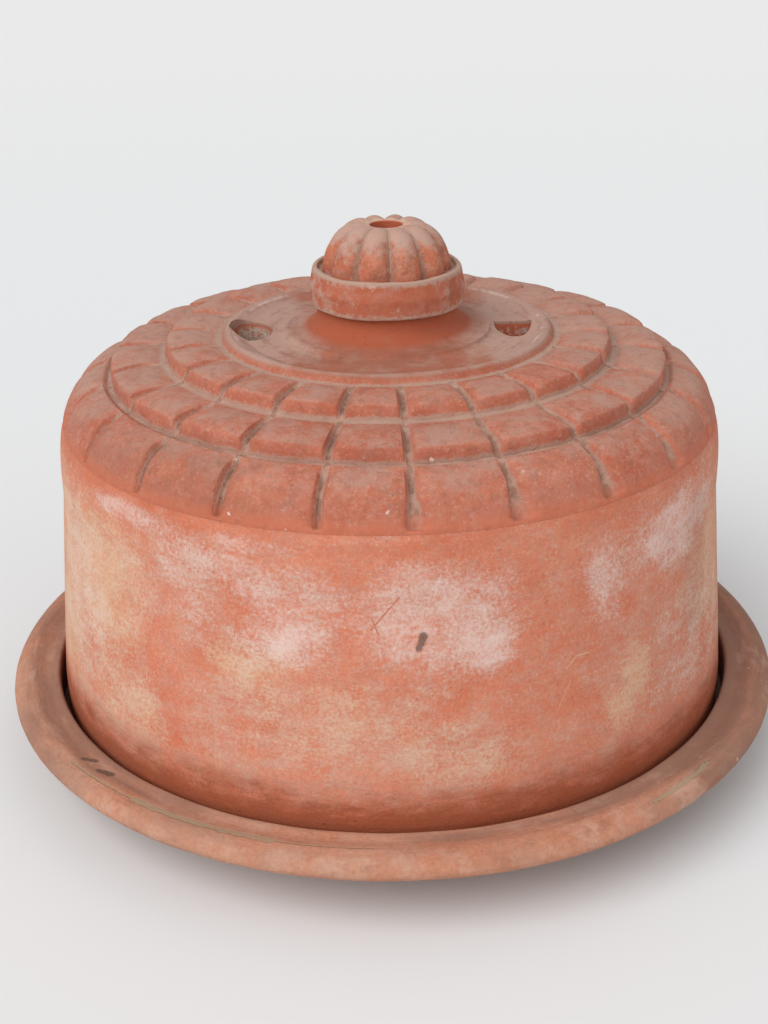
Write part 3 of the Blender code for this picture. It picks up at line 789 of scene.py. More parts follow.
@dataclass
class Wall(TurnedPiece):
    """Thrown wall of the bell, with its lime bloom, its marks and painted shade at its foot."""

    name: str = "bell_wall_clay"
    node: str = "wall"
    clay_slot: str = "wall_clay"
    steps: int = 320
    paints: tuple[str, ...] = ("bloom", "cream", "mottle", "foot_shade")
    bloom: tuple[Patch, ...] = patches(
        (6, 62, 15, 13, 1), (13, 56, 8, 9, 0.9), (-14, 66, 16, 9, 0.75), (-15, 57, 11, 8, 0.9),
        (-45, 75.5, 12, 3.5, 1), (-31, 66, 9, 13, 0.7), (35, 63, 7, 12, 0.8), (51, 67, 18, 9, 0.95),
        (-62, 52, 14, 26, 0.6), (-45, 58, 8, 14, 0.35), (62, 40, 20, 18, 0.55), (-10, 76, 34, 4, 0.6),
        (120, 60, 30, 14, 0.8), (165, 40, 26, 16, 0.7), (-120, 62, 26, 12, 0.8), (-150, 38, 24, 12, 0.7),
        (95, 32, 18, 10, 0.6), (178, 70, 22, 8, 0.8),
    )
    yellow: tuple[Patch, ...] = patches(
        (-55, 58, 18, 18, 0.95), (-70, 48, 16, 32, 0.9), (-20, 51, 10, 7, 0.7), (-48, 34, 14, 13, 0.6),
        (40.5, 41, 4, 8, 0.85), (68, 52, 14, 24, 0.75), (37, 34, 4, 5.5, 0.85), (12, 29, 12, 6, 0.6),
        (-8, 40, 16, 9, 0.45), (170, 58, 24, 16, 0.7), (-135, 30, 22, 8, 0.6), (-100, 50, 20, 24, 0.6),
        (110, 44, 20, 18, 0.6),
    )
    speckled: tuple[Patch, ...] = patches(
        (-18, 37, 26, 14, 1), (10, 31, 22, 10, 1), (-50, 30, 20, 13, 1), (52, 44, 22, 22, 0.7),
        (-34, 62, 12, 16, 0.7), (2, 26, 60, 5, 0.8), (140, 34, 40, 14, 0.9), (-110, 36, 40, 16, 0.9),
    )
    clean: tuple[Patch, ...] = patches(
        (24, 47, 6, 30, 1), (-36.5, 46, 4.5, 8, 0.9), (20, 76.5, 14, 3, 0.9), (5, 75.2, 15, 2.6, 1),
        (-28, 78, 26, 1.6, 0.7), (150, 60, 7, 26, 0.8), (-88, 40, 6, 26, 0.7),
    )
    foot_shade_mm: tuple[float, float] = (33.0, 16.0)
    tuck: float = 0.00028
    tuck_start: float = 0.0018
    tuck_end: float = 0.0002
    unrolled_mm: float = 76.0
    spot: Mark = Mark((5.2, 56.2), (6.1, 58.5), 0.75)
    scratches: tuple[Mark, ...] = (
        Mark((35.2, 47.2), (37.6, 49.3), 0.16), Mark((37.6, 49.3), (40.8, 49.2), 0.16),
        Mark((33.4, 39.5), (36.2, 44.6), 0.1),
    )
    hairs: tuple[Mark, ...] = (Mark((-4.0, 60.0), (1.5, 66.5), 0.14), Mark((-2.6, 59.0), (-3.8, 62.5), 0.14))
    stain: Mark = Mark((76.0, 46.0), (78.0, 66.0), 6.0)

    def section(self) -> Section:
        """The bell's section up to the seam under the tiles."""
        return self.form.section().clip(self.form.seam, False)

    def shaped(self, at: Vector, azimuth: float, course: float) -> Shaped:
        """Lets the wall waver, draws it in under the crown's edge, and paints lime and the painted shade at its
        foot.
        """
        form = self.form
        moved = at.copy()
        moved.x += form.waver(at_azimuth(at.x, azimuth, at.y))
        outside = at.x > form.radius_at(at.y, form.wall * 0.55)
        if outside:
            moved.x -= self.tuck * smooth_step(form.seam - self.tuck_start, form.seam - self.tuck_end, at.y)
        height = at.y / MM
        bare = 1.0 - max(patch.amount(azimuth, height) for patch in self.clean)
        amounts = [max(patch.amount(azimuth, height) for patch in stains) * bare * outside
                   for stains in (self.bloom, self.yellow, self.speckled)]
        # Painted shade: the outside darkens towards the foot, where the wall stands in the saucer.
        foot_shade = smooth_step(*self.foot_shade_mm, height) * outside
        return moved, dict(zip(self.paints, amounts + [foot_shade]))

    def dress(self, piece: bpy.types.Object) -> None:
        """Lays lime, yellow lime, painted shade and small marks on the clay."""
        graph = Graph("weathered_wall_clay")
        clay = FiredClay(Tone.WALL, Tone.WALL_DEEP)
        fine = graph.grain(0.7, 4.0, 0.8, 21.0) - 0.5
        streaky = graph.layered(3.0, 0.3, 22.0, 7.0, 0.72)
        clouds = graph.grain(13.0, 8.0, 0.66, 20.0) * 0.65 + streaky * 0.35 - 0.5
        patchy = graph.grain(8.0, 8.0, 0.68, 23.0) * 0.6 + streaky * 0.4 - 0.5
        bare = (graph.grain(4.0, 7.0, 0.7, 26.0) + fine * 0.5).step(0.5, 0.68)
        haze = (graph.painted("mottle") * 0.34 + patchy * 2.6 + fine * 1.7 + 0.26).step(0.12, 1.04)
        yellow = (graph.painted("cream") * 0.86 + clouds * 2.2 + fine * 1.5).step(0.12, 1.04)
        lime = (graph.painted("bloom") * 0.88 + clouds * 2.4 + fine * 1.7).step(0.2, 1.1)
        flecks = graph.grain(0.55, 3.0, 0.7, 29.0).step(0.6, 0.72)
        # Painted shade: a deeper, streaky band just under the crown's edge.
        under = graph.z.step(72.5, 78.0) * graph.layered(5.0, 0.4, 27.0).step(0.3, 0.6)
        salt = graph.grain(0.5, 3.0, 0.75, 36.0).step(0.57, 0.67)
        foot_shade = (graph.painted("foot_shade") + (streaky - 0.5) * 1.5 + fine * 0.9).step(0.12, 0.96)
        # Painted shade: the wall's front right is darkened where the lime bloom is thin.
        shaded = graph.x.step(20.0, 70.0) * graph.y.step(-30.0, -60.0)
        colour = graph.lay(
            clay.colour(graph),
            (Tone.WALL_DEEP, bare * 0.45),
            (Tone.CHALK, haze * 0.72),
            (Tone.CREAM, yellow * 0.8),
            (Tone.LIME, lime * 0.82),
            (Tone.WALL_DEEP, flecks * (lime + yellow) * 0.45),
            (Tone.DEEP, under * 0.55),
            (Tone.LIME, salt * (0.16 + haze * 0.34)),
            # Painted shade over the lowest part of the wall, near the saucer.
            (Tone.FOOT_SHADE_AND_STAIN, foot_shade * graph.z.step(36.0, 25.0) * 0.88),
            (Tone.DEEP, shaded * (1.0 - lime) * 0.15),
            *self.marks(graph),
        )
        throwing_lines = graph.layered(1.3, 0.06, 9.0, 3.0, 0.6) * 0.12
        height = clay.height(graph) + throwing_lines + (lime + haze) * 0.04
        graph.dress(piece, colour, clay.roughness(graph), height)

    def marks(self, graph: Graph) -> list[Coat]:
        """The dark spot, the pale scratches, the dark hairs and the grey stain."""
        arc = graph.arc(self.unrolled_mm)
        spot = self.spot.drawn(arc, graph.z, graph.grain(1.8, 4.0, 0.8, 37.0))
        scratches = drawn(self.scratches, arc, graph.z)
        hairs = drawn(self.hairs, arc, graph.z, graph.grain(0.8, 3.0, 0.7, 25.0))
        stain = self.stain.drawn(arc, graph.z, graph.grain(4.0, 5.0, 0.7, 28.0))
        return [(Tone.SOOT, spot * 0.75), (Tone.CREAM, scratches * 0.4), (Tone.DEEP, hairs * 0.8),
                (Tone.GRIME, stain * 0.18)]


@dataclass(frozen=True)
class PourHole:
    """A hole that is cut by eye: a leaning oval, or the front half of one with a straight back."""

    name: str
    centre: tuple[float, float]
    half_size: tuple[float, float]
    steps: int
    start: float
    squareness: float = 2.0
    lean: float = 0.0
    wavers: tuple[Waver, Waver] = (Waver(0.0003, 0.004, 1.0), Waver(0.0003, 0.004, 2.0))

    def outline(self, height: float) -> list[Vector]:
        """Points round the hole at a height."""
        lean = Matrix.Rotation(math.radians(self.lean), 2)
        oval = oval_arc(Vector((0.0, 0.0)), *self.half_size, self.start, 360.0, self.steps, self.squareness)
        flat = [Vector(self.centre) + lean @ point for point in (oval if self.start else oval[:-1])]
        places = [Vector((*point, height)) for point in flat]
        return [place + Vector([waver.at(place) for waver in self.wavers] + [0.0]) for place in places]

    def knife(self, bottom: float, top: float) -> bpy.types.Object:
        """A solid that cuts the hole straight down."""
        shape = bmesh.new()
        face = shape.faces.new([shape.verts.new(place) for place in self.outline(bottom)])
        extruded = bmesh.ops.extrude_face_region(shape, geom=[face])["geom"]
        lifted = [item for item in extruded if isinstance(item, bmesh.types.BMVert)]
        bmesh.ops.translate(shape, verts=lifted, vec=(0.0, 0.0, top - bottom))
        bmesh.ops.recalc_face_normals(shape, faces=shape.faces)
        return meshed(self.name, shape)


@dataclass
class Crown(TurnedPiece):
    """Pressed crown with its three courses of tiles, lip, gutter, pour holes and neck."""

    name: str = "bell_crown_clay"
    node: str = "crown"
    clay_slot: str = "crown_clay"
    steps: int = 22 * 24
    paints: tuple[str, ...] = ("joint", "ring", "tile")
    crowding: float = 0.6
    tiles: int = 22
    stray_most: float = 1.5
    stray_middle: float = -4.0
    stray_width: float = 9.0
    first_joint: float = 4.3
    joint_end: float = 0.0797
    joint_depth: float = 0.0022
    joint_width: float = 0.0015
    joint_sides: tuple[float, float] = (1.3, 0.7)
    joint_core: float = 0.8
    joint_softness: float = 0.0026
    finger_width: float = 0.0017
    finger_azimuths: tuple[float, ...] = (-9.0, 1.0, 40.0, 75.0)
    back_lift: float = 0.25
    press_inset: float = 0.002
    edge_waver: Waver = Waver(0.0004, 0.0035, 6.0)
    tile_wavers: tuple[Waver, ...] = (Waver(0.00018, 0.006, 3.0), Waver(0.00007, 0.0018, 7.0))
    gutter_wavers: tuple[Waver, ...] = (Waver(0.00025, 0.017, 4.0), Waver(0.00008, 0.004, 5.0))
    tile_steps: float = 0.00026
    tile_tilt: float = 0.0003
    ledge_tuck: float = 0.00022
    knife_margin: float = 0.004
    holes: tuple[PourHole, ...] = (
        PourHole("straight_hole_knife", (0.0278, 0.004), (0.0043, 0.011), 26, 180.0),
        PourHole("oval_hole_knife", (-0.0302, -0.0003), (0.0048, 0.007), 40, 0.0, 1.85, 12.0),
    )

    def section(self) -> Section:
        """The bell's section above the seam under the tiles."""
        return self.form.section().clip(self.form.seam, True)

    def stray(self, azimuth: float) -> float:
        """Degrees by which the joints stray from even spacing: the tiles at the front are narrower."""
        turned = (azimuth + 180.0) % 360.0 - 180.0
        swing = math.tanh((turned - self.stray_middle) / self.stray_width)
        return -self.stray_most * swing * (1.0 - (turned / 180.0) ** 2)

    def spread(self, share: float) -> float:
        """Azimuth of a meridian. They crowd towards the joints between tiles."""
        even = self.first_joint + 360.0 * self.crowded(share * self.tiles) / self.tiles
        return even + self.stray(even)

    def column(self, azimuth: float) -> float:
        """Number of the tile at an azimuth, with the share of its width that lies before it."""
        even = azimuth
        for _ in range(4):
            even = azimuth - self.stray(even)
        return (even - self.first_joint) * self.tiles / 360.0

    def shaped(self, at: Vector, azimuth: float, course: float) -> Shaped:
        """Sinks the joints, lets the tiles and the gutter waver, and paints where dust settles."""
        form = self.form
        place = at_azimuth(at.x, azimuth, at.y)
        moved = at + Vector((form.waver(place), 0.0))
        if course >= 1.0:
            return self.tiled(moved, azimuth, course)
        ring = 0.0
        if at.y > form.gutter_floor - 0.001:
            ring = bell_curve((at - form.rings[0]).length, 0.0007)
            moved.y += uneven(self.gutter_wavers, place)
        return moved, {"joint": 0.0, "ring": ring, "tile": 0.0}

    def tiled(self, at: Vector, azimuth: float, course: float) -> Shaped:
        """Shapes one point of the tiles.

        Args:
            at: The point as (radius, height) on the courses' crest line.
            azimuth: Its azimuth in degrees.
            course: Number of the course, plus the share of its width.

        Returns:
            The moved point and what is painted there.
        """
        form = self.form
        row = int(course)
        share = course - row
        column = self.column(azimuth)
        past_joint = (column - round(column)) * math.radians(360.0 / self.tiles) * at.x
        tile = Vector((math.floor(column) % self.tiles, row * 7.0, 0.5))
        own = noise.noise(tile * 1.37)
        place = at_azimuth(at.x, azimuth, at.y)
        width, ends = self.joint_width, 1.0
        if row < 3:
            inner, outer = form.rings[row - 1], form.rings[row]
            along = outer - inner
            outward = Vector((-along.y, along.x)).normalized()
            height = form.reliefs[row - 1] * form.rise(share)
            depth = min(self.joint_depth, height * 0.9)
            at = at + outward * height * self.back_lift * (0.5 - 0.5 * math.cos(math.radians(azimuth)))
            ring_distance = min(share, 1.0 - share) * along.length
            edge = smooth_step(0.8, 0.97, share) * self.edge_waver.at(place)
        else:
            outward = (at - Vector((form.outer_ring[0] - self.press_inset, form.shoulder_start))).normalized()
            ends = smooth_step(self.joint_end - 0.0008, self.joint_end + 0.001, at.y)
            depth = self.joint_depth * smooth_step(0.0, 0.1, share)
            start, full, waning, end = self.finger_azimuths
            facing = smooth_step(start, full, azimuth_of(place)) * smooth_step(end, waning, azimuth_of(place))
            width += self.finger_width * facing * smooth_step(form.outer_ring[1], self.joint_end, at.y)
            ring_distance = (at - form.rings[-1]).length
            edge = 0.0
        reach = abs(past_joint) / (width * self.joint_sides[past_joint <= 0.0])
        core, soft = smooth_step(1.0, 0.05, reach), bell_curve(past_joint, self.joint_softness)
        moved = at - outward * depth * ends * (self.joint_core * core + (1.0 - self.joint_core) * soft)
        raised = self.tile_steps * own + uneven(self.tile_wavers, place)
        tilt = self.tile_tilt * (column - math.floor(column) - 0.5) * noise.noise(tile * 2.11)
        lifted = (raised + tilt) * (1.0 - core) * min(1.0, ring_distance / 0.002) + edge
        if row == 3:
            lifted *= smooth_step(form.seam, form.seam + 0.0015, at.y)
            lifted -= self.ledge_tuck * smooth_step(form.seam + 0.0007, form.seam, at.y)
        moved += outward * lifted
        tile_face = (1.0 - soft) * smooth_step(0.0004, 0.0022, ring_distance) * ends
        ring = bell_curve(ring_distance, 0.0005 if 0.5 < share and row < 3 else 0.0008)
        return moved, {"joint": smooth_step(0.95, 0.25, reach) * ends, "ring": ring, "tile": tile_face}

    def cuts(self) -> list[bpy.types.Object]:
        """Knives for the two pour holes."""
        bottom = self.form.gutter_floor - self.form.crown - self.knife_margin
        return [hole.knife(bottom, self.form.lip_height + self.knife_margin) for hole in self.holes]

    def dress(self, piece: bpy.types.Object) -> None:
        """Gives the tiles their dusty tops, redder edges, dust-filled joints and painted shade on the outer
        course's front left.
        """
        graph = Graph("weathered_crown_clay")
        clay = FiredClay(Tone.TILE, Tone.TILE_DEEP, Tone.ROSE, 20.0, 5.0)
        joint, ring, face = graph.painted("joint"), graph.painted("ring"), graph.painted("tile")
        upward = graph.facing_up()
        cloudy = graph.grain(8.0, 6.0, 0.65, 12.0)
        fine = graph.grain(1.2, 4.0, 0.8, 19.0) - 0.5
        beside = abs(graph.arc(1.0)).step(0.6, 1.5)
        settled = face * 0.16 + upward.step(0.6, 1.0) * 0.24 + beside * 0.34 + (cloudy - 0.5) * 2.2 + fine * 1.2
        edges = upward.step(0.9, 0.45) * cloudy.step(0.34, 0.6)
        scuffed = (graph.grain(2.6, 8.0, 0.76, 33.0) + fine * 0.3).step(0.51, 0.62)
        stipple = graph.grain(0.7, 3.0, 0.8, 18.0).step(0.55, 0.68)
        ragged = graph.grain(1.5, 5.0, 0.7, 11.0)
        dusty = (joint.larger(ring) + (ragged - 0.5) * 1.3).step(0.34, 0.96)
        grime = (joint * graph.grain(2.4, 4.0, 0.7, 13.0)).step(0.4, 0.58)
        # Painted shade: the outer course of tiles is darkened at its front left.
        left = graph.x.step(-14.0, -36.0) * graph.y.step(-22.0, -46.0) * graph.z.step(88.5, 87.0)
        foot = (graph.z.step(83.0, 78.8) * 0.8 + (cloudy - 0.5) * 1.6).step(0.1, 0.9)
        chips = graph.specks(6.0, 0.55, 14.0) * graph.grain(14.0, 2.0, 0.5, 15.0).step(0.5, 0.6)
        dots = graph.specks(5.0, 0.3, 16.0) * graph.grain(18.0, 2.0, 0.5, 17.0).step(0.48, 0.6)
        colour = graph.lay(
            clay.colour(graph),
            (Tone.MAUVE_DUST, settled.step(0.0, 0.9) * 0.78),
            (Tone.TILE_DEEP, edges * 0.45),
            (Tone.BROWN_STAIN_AND_SHADE, scuffed * 0.34),
            (Tone.CHALK, stipple * 0.38),
            (Tone.GROOVE_DUST, dusty * 0.74),
            (Tone.BROWN_STAIN_AND_SHADE, grime * 0.6),
            (Tone.BROWN_STAIN_AND_SHADE, left * cloudy.step(0.3, 0.56) * 0.32),
            (Tone.WALL_DEEP, foot * 0.55),
            (Tone.LIME, chips * graph.z.step(90.0, 88.5) * 0.8),
            (Tone.SOOT, dots * 0.5),
            *self.gutter(graph),
        )
        height = clay.height(graph) + dusty * ragged * 0.25 + chips * 0.1
        graph.dress(piece, colour, clay.roughness(graph), height)

    def gutter(self, graph: Graph) -> list[Coat]:
        """Painted shade on the neck under the knob's band, and colours of the gutter's dusty floor, its lip and
        the insides of the two holes.
        """
        inside = graph.radius.step(36.6, 35.4) * graph.z.step(94.2, 94.8)
        soil = graph.grain(7.0, 6.0, 0.65, 30.0)
        aside = (abs(graph.x) - graph.radius * 0.52 + (soil - 0.5) * 18.0).step(0.0, 9.0)
        streaks = (graph.swept(2.2, 34.0) * 0.5 + graph.grain(3.0, 8.0, 0.78, 35.0) * 0.5).step(0.48, 0.6)
        # Painted shade: the neck is darkened under the knob's overhanging band.
        neck = graph.z.step(95.9, 97.0) * graph.radius.step(23.0, 21.5)
        stains = graph.layered(2.0, 0.6, 31.0, 4.0, 0.7).step(0.66, 0.74) * inside
        crest = graph.radius.step(33.4, 34.6) * graph.radius.step(37.0, 36.0) * graph.z.step(95.8, 96.4)
        line = graph.radius.step(33.5, 33.8) * graph.radius.step(34.5, 34.1) * graph.z.step(95.4, 95.8)
        sunk = graph.radius.step(34.4, 33.8) * graph.z.step(94.9, 94.3) * graph.z.step(88.0, 88.6)
        caked = (graph.grain(1.2, 4.0, 0.7, 32.0) + graph.x.step(20.0, -20.0) * 0.1).step(0.46, 0.66)
        return [
            (Tone.GUTTER, inside * 0.75),
            (Tone.GUTTER_SIDE, aside * inside * 0.8),
            (Tone.MAUVE_DUST, inside * soil.step(0.46, 0.66) * 0.45),
            (Tone.BROWN_STAIN_AND_SHADE, inside * streaks * 0.45),
            (Tone.NECK_SHADE, neck * (1.15 - streaks * 0.55).smaller(0.95)),
            (Tone.SOOT, stains * 0.55),
            (Tone.MAUVE_DUST, crest * soil.step(0.3, 0.55) * 0.6),
            (Tone.LIME, line * soil.step(0.46, 0.58) * 0.5),
            (Tone.DEEP, sunk),
            (Tone.HOLE_LIME, sunk * caked * graph.z.step(94.8, 93.0)),
        ]


@dataclass
class InnerBell(TurnedPiece):
    """Liner that closes the water jacket."""

    name: str = "inner_bell_clay"
    node: str = "inner_bell"
    clay_slot: str = "liner_clay"
    steps: int = 144
    jacket: float = 0.008
    headroom: float = 0.009
    thickness: float = 0.005
    flange: float = 0.005

    def section(self) -> Section:
        """Half section, from the middle of the top down the outside and back up the inside."""
        form = self.form
        inset = form.wall + self.jacket
        inner = inset + self.thickness
        floor = form.foot_height
        flange_top = floor + self.flange
        top = form.gutter_floor - form.crown - self.headroom
        corner = form.outer_ring[1] - form.crown - self.headroom
        flat = form.inner_ring[0] - self.jacket
        edge = form.wall + form.joint_gap
        return Section([
            Corner(0.0, top),
            Corner(flat, top),
            Corner(form.radius_at(corner, inset), corner, 0.011),
            Corner(form.radius_at(form.lean_start, inset), form.lean_start),
            Corner(form.radius_at(flange_top, inset), flange_top, 0.003),
            Corner(form.radius_at(flange_top, edge), flange_top, 0.0004),
            Corner(form.radius_at(floor, edge), floor, 0.0006),
            Corner(form.radius_at(floor, inner), floor, 0.001),
            Corner(form.radius_at(corner, inner), corner - self.thickness, 0.0085),
            Corner(flat, top - self.thickness),
            Corner(0.0, top - self.thickness),
        ], False)

    def dress(self, piece: bpy.types.Object) -> None:
        """Gives the liner bare clay with tide marks of dried lime."""
        graph = Graph("bare_liner_clay")
        clay = FiredClay()
        tide = graph.layered(7.0, 0.2, 2.0, 5.0)
        colour = graph.lay(
            clay.colour(graph),
            (Tone.CHALK, tide.step(0.48, 0.64) * 0.55),
            (Tone.FOOT_SHADE_AND_STAIN, graph.z.step(16.0, 9.0) * tide.step(0.4, 0.6) * 0.6),
        )
        graph.dress(piece, colour, clay.roughness(graph), clay.height(graph))


@dataclass
class Knob(TurnedPiece):
    """Plain band with a ragged lip, and a dome of lobes round the vent."""

    name: str = "knob_clay_piece"
    node: str = "knob"
    clay_slot: str = "knob_clay"
    steps: int = 10 * 22
    paints: tuple[str, ...] = ("valley", "rim")
    sharp_degrees: float = 50.0
    crowding: float = 0.55
    lobes: int = 10
    first_valley: float = 3.0
    spigot_length: float = 0.0048
    cavity_radius: float = 0.005
    cavity_height: float = 0.0135
    vent_radius: float = 0.0035
    band_height: float = 0.0073
    band_lower: float = 0.0167
    band_middle: float = 0.017
    band_upper: float = 0.0162
    lip_width: float = 0.0012
    trough_depth: float = 0.0009
    dome_radius: float = 0.0142
    dome_height: float = 0.0095
    lobe_radius: float = 0.0041
    lobe_top_radius: float = 0.0029
    lobe_top_reach: float = 0.0059
    over: float = 116.0
    vent_rim_drop: float = 0.0007
    dome_steps: int = 46
    valley_depth: float = 1.12
    lip_raise: float = 0.0002
    lip_waver: Waver = Waver(0.0003, 0.0045, 5.0)
    foot_drop: float = 0.0006
    foot_waver: Waver = Waver(0.0004, 0.013, 10.0)
    band_wavers: tuple[Waver, ...] = (Waver(0.00012, 0.009, 6.0), Waver(0.0001, 0.0022, 7.0))
    edge_chips: Waver = Waver(0.00015, 0.005, 8.0)
    dome_sink: float = 0.00012
    dome_waver: Waver = Waver(0.00014, 0.003, 9.0)
    worn_scar: Mark = Mark((16.0, 105.2), (17.2, 107.6), 1.5)

    @property
    def underside(self) -> float:
        """Height at which the band sits on the neck."""
        return self.form.neck_top + self.form.joint_gap

    @property
    def band_top(self) -> float:
        """Height of the band's lip."""
        return self.underside + self.band_height

    @property
    def trough(self) -> float:
        """Height of the trough between the band and the dome."""
        return self.band_top - self.trough_depth

    def lobe(self, angle: float) -> tuple[Vector, float]:
        """Centre of a lobe's round section and its radius, at an angle up the dome in degrees."""
        share = min(angle / 90.0, 1.0)
        rise = math.radians(90.0 * share)
        start = self.dome_radius - self.lobe_radius
        end_height = self.band_top + self.dome_height - self.lobe_top_radius
        centre = Vector((self.lobe_top_reach + (start - self.lobe_top_reach) * math.cos(rise),
                         self.trough + (end_height - self.trough) * math.sin(rise)))
        return centre, self.lobe_radius + (self.lobe_top_radius - self.lobe_radius) * share

    def crest(self, angle: float) -> Vector:
        """Point on the crest line of a lobe, at an angle up the dome in degrees."""
        centre, radius = self.lobe(angle)
        turn = math.radians(angle)
        return centre + Vector((math.cos(turn), math.sin(turn))) * radius

    def section(self) -> Section:
        """Closed half section, from the vent's edge down the dome and band and back up the bore."""
        angles = [self.over * (1 - step / self.dome_steps) for step in range(self.dome_steps + 1)]
        corners = [Corner(*self.crest(angle), course=1.0 + angle) for angle in angles]
        bottom = self.underside - self.spigot_length
        spigot = self.form.neck_bore - self.form.joint_gap
        lip = self.band_upper - self.lip_width
        corners += [
            Corner(self.dome_radius - 0.0002, self.trough - 0.0001, 0.0002, 0.0004),
            Corner(lip, self.trough, 0.0003, 0.0004),
            Corner(lip + 0.0002, self.band_top, 0.0003, 0.0004),
            Corner(self.band_upper, self.band_top - 0.0001, 0.0004, 0.0003),
            Corner(self.band_middle, self.underside + self.band_height * 0.5, 0.004, 0.0007),
            Corner(self.band_lower, self.underside, 0.0005, 0.0007),
            Corner(spigot, self.underside, 0.0003, 0.001),
            Corner(spigot, bottom, 0.0006, 0.0015),
            Corner(self.cavity_radius, bottom, 0.0004, 0.0015),
            Corner(self.cavity_radius, bottom + self.cavity_height, 0.001, 0.0015),
            Corner(self.vent_radius, bottom + self.cavity_height, 0.0004, 0.001),
            Corner(self.vent_radius, self.band_top + self.dome_height - self.vent_rim_drop, 0.0003, 0.0006),
        ]
        return Section(corners, True)

    def spread(self, share: float) -> float:
        """Azimuth of a meridian. They crowd towards the valleys between lobes."""
        return self.first_valley + 360.0 * self.crowded(share * self.lobes) / self.lobes

    def shaped(self, at: Vector, azimuth: float, course: float) -> Shaped:
        """Sinks the valleys between the lobes and roughens the band's edges."""
        place = at_azimuth(at.x, azimuth, at.y)
        moved = at.copy()
        painted = {"valley": 0.0, "rim": 0.0}
        if course >= 1.0:
            moved, painted["valley"] = self.lobed(at, azimuth, course - 1.0)
        elif at.x > self.dome_radius - 0.0004:
            lip = bell_curve(at.y - self.band_top, 0.0012)
            foot = bell_curve(at.y - self.underside, 0.001)
            moved.y += lip * (self.lip_raise + self.lip_waver.at(place))
            moved.y -= foot * (at.x > self.band_upper) * (self.foot_drop + self.foot_waver.at(place))
            moved.x += uneven(self.band_wavers, place) - max(0.0, self.edge_chips.at(place)) * (lip + foot)
            painted["rim"] = max(lip, foot)
            painted["valley"] = bell_curve(at.y - self.trough, 0.0006) * (at.x < self.band_upper - 0.0004)
        return moved, painted

    def lobed(self, at: Vector, azimuth: float, angle: float) -> tuple[Vector, float]:
        """Sinks one point of the dome below its lobe's crest line.

        Args:
            at: The point as (radius, height).
            azimuth: Its azimuth in degrees.
            angle: Its angle up the dome in degrees.

        Returns:
            The moved point, and how deep in a valley it lies from 0 to 1.
        """
        centre, radius = self.lobe(angle)
        column = (azimuth - self.first_valley) * self.lobes / 360.0
        swing = math.radians((column - math.floor(column) - 0.5) * 360.0 / self.lobes)
        reach = min(centre.x, at.x)
        side = min(abs(reach * math.sin(swing)), radius * 0.98)
        turn = math.radians(angle)
        outward = Vector((math.cos(turn), math.sin(turn)))
        drop = radius - math.sqrt(radius**2 - side**2) + centre.x * (1 - math.cos(swing)) * max(outward.x, 0.0)
        deepest = max(abs(reach * math.sin(math.pi / self.lobes)), 1e-6)
        valley = (side / deepest) ** 4 * smooth_step(108.0, 96.0, angle)
        sunk = drop * self.valley_depth + self.dome_sink - self.dome_waver.at(at_azimuth(at.x, azimuth, at.y))
        return at - outward * sunk, valley

    def dress(self, piece: bpy.types.Object) -> None:
        """Gives the knob its brighter clay, chalky edges and dirt in the valleys."""
        graph = Graph("handled_knob_clay")
        clay = FiredClay(Tone.CLAY, Tone.BAND, Tone.ROSE, 14.0, 5.0, 0.7)
        ragged = graph.grain(1.1, 4.0, 0.7, 3.0)
        band_top = self.band_top / MM
        band = graph.z.step(band_top, band_top - 0.5) * graph.z.step(100.0, 101.5)
        soiled = (graph.grain(3.2, 8.0, 0.76, 10.0) + (ragged - 0.5) * 0.2).step(0.46, 0.6)
        worn = (graph.grain(4.0, 6.0, 0.7, 4.0) - 0.5) * 2.8 + (ragged - 0.5) * 1.0
        worn = (worn + graph.facing_up().step(0.05, 0.9) * 1.05 - 0.1).step(0.05, 0.85)
        stipple = graph.grain(0.9, 5.0, 0.8, 8.0).step(0.54, 0.66)
        dusted = (graph.grain(5.0, 6.0, 0.7, 9.0) + (ragged - 0.5) * 0.4).step(0.44, 0.66) * band
        sides = abs(graph.x).step(6.0, 15.0)
        valley, rim = graph.painted("valley"), graph.painted("rim")
        crumbs = (valley * 0.9 + (ragged - 0.5) * 1.5).step(0.42, 0.85)
        mouth = (graph.radius + (ragged - 0.5) * 2.0).step(5.4, 4.4) * graph.radius.step(3.45, 3.7)
        scuffs = (graph.grain(4.0, 6.0, 0.72, 6.0) + (ragged - 0.5) * 0.3).step(0.6, 0.68)
        scar = self.worn_scar.drawn(graph.arc(17.0), graph.z, ragged)
        colour = graph.lay(
            clay.colour(graph),
            (Tone.BAND, band * 0.6),
            (Tone.BROWN_STAIN_AND_SHADE, soiled * graph.z.step(109.0, 110.5) * 0.65),
            (Tone.GUTTER_SIDE, worn * graph.z.step(109.0, 112.0) * 0.85),
            (Tone.CHALK, stipple * graph.z.step(109.0, 113.0) * 0.45),
            (Tone.GUTTER_SIDE, dusted * (0.25 + sides * 0.55)),
            (Tone.GRIME, (valley + (ragged - 0.5) * 0.9).step(0.4, 0.95) * 0.65),
            (Tone.GROOVE_DUST, crumbs * 0.85),
            (Tone.GROOVE_DUST, (rim * 0.9 + (ragged - 0.5) * 1.5).step(0.3, 0.8) * 0.85),
            (Tone.CHALK, mouth * graph.z.step(116.0, 117.0) * 0.8),
            (Tone.DEEP, graph.radius.step(3.75, 3.55) * graph.z.step(108.0, 109.0)),
            (Tone.CHALK, scuffs * band * 0.7),
            (Tone.GRIME, scar * ragged.step(0.35, 0.6) * 0.55),
        )
        height = clay.height(graph) + rim * ragged * 0.2 + valley * ragged * 0.2
        graph.dress(piece, colour, clay.roughness(graph), height)


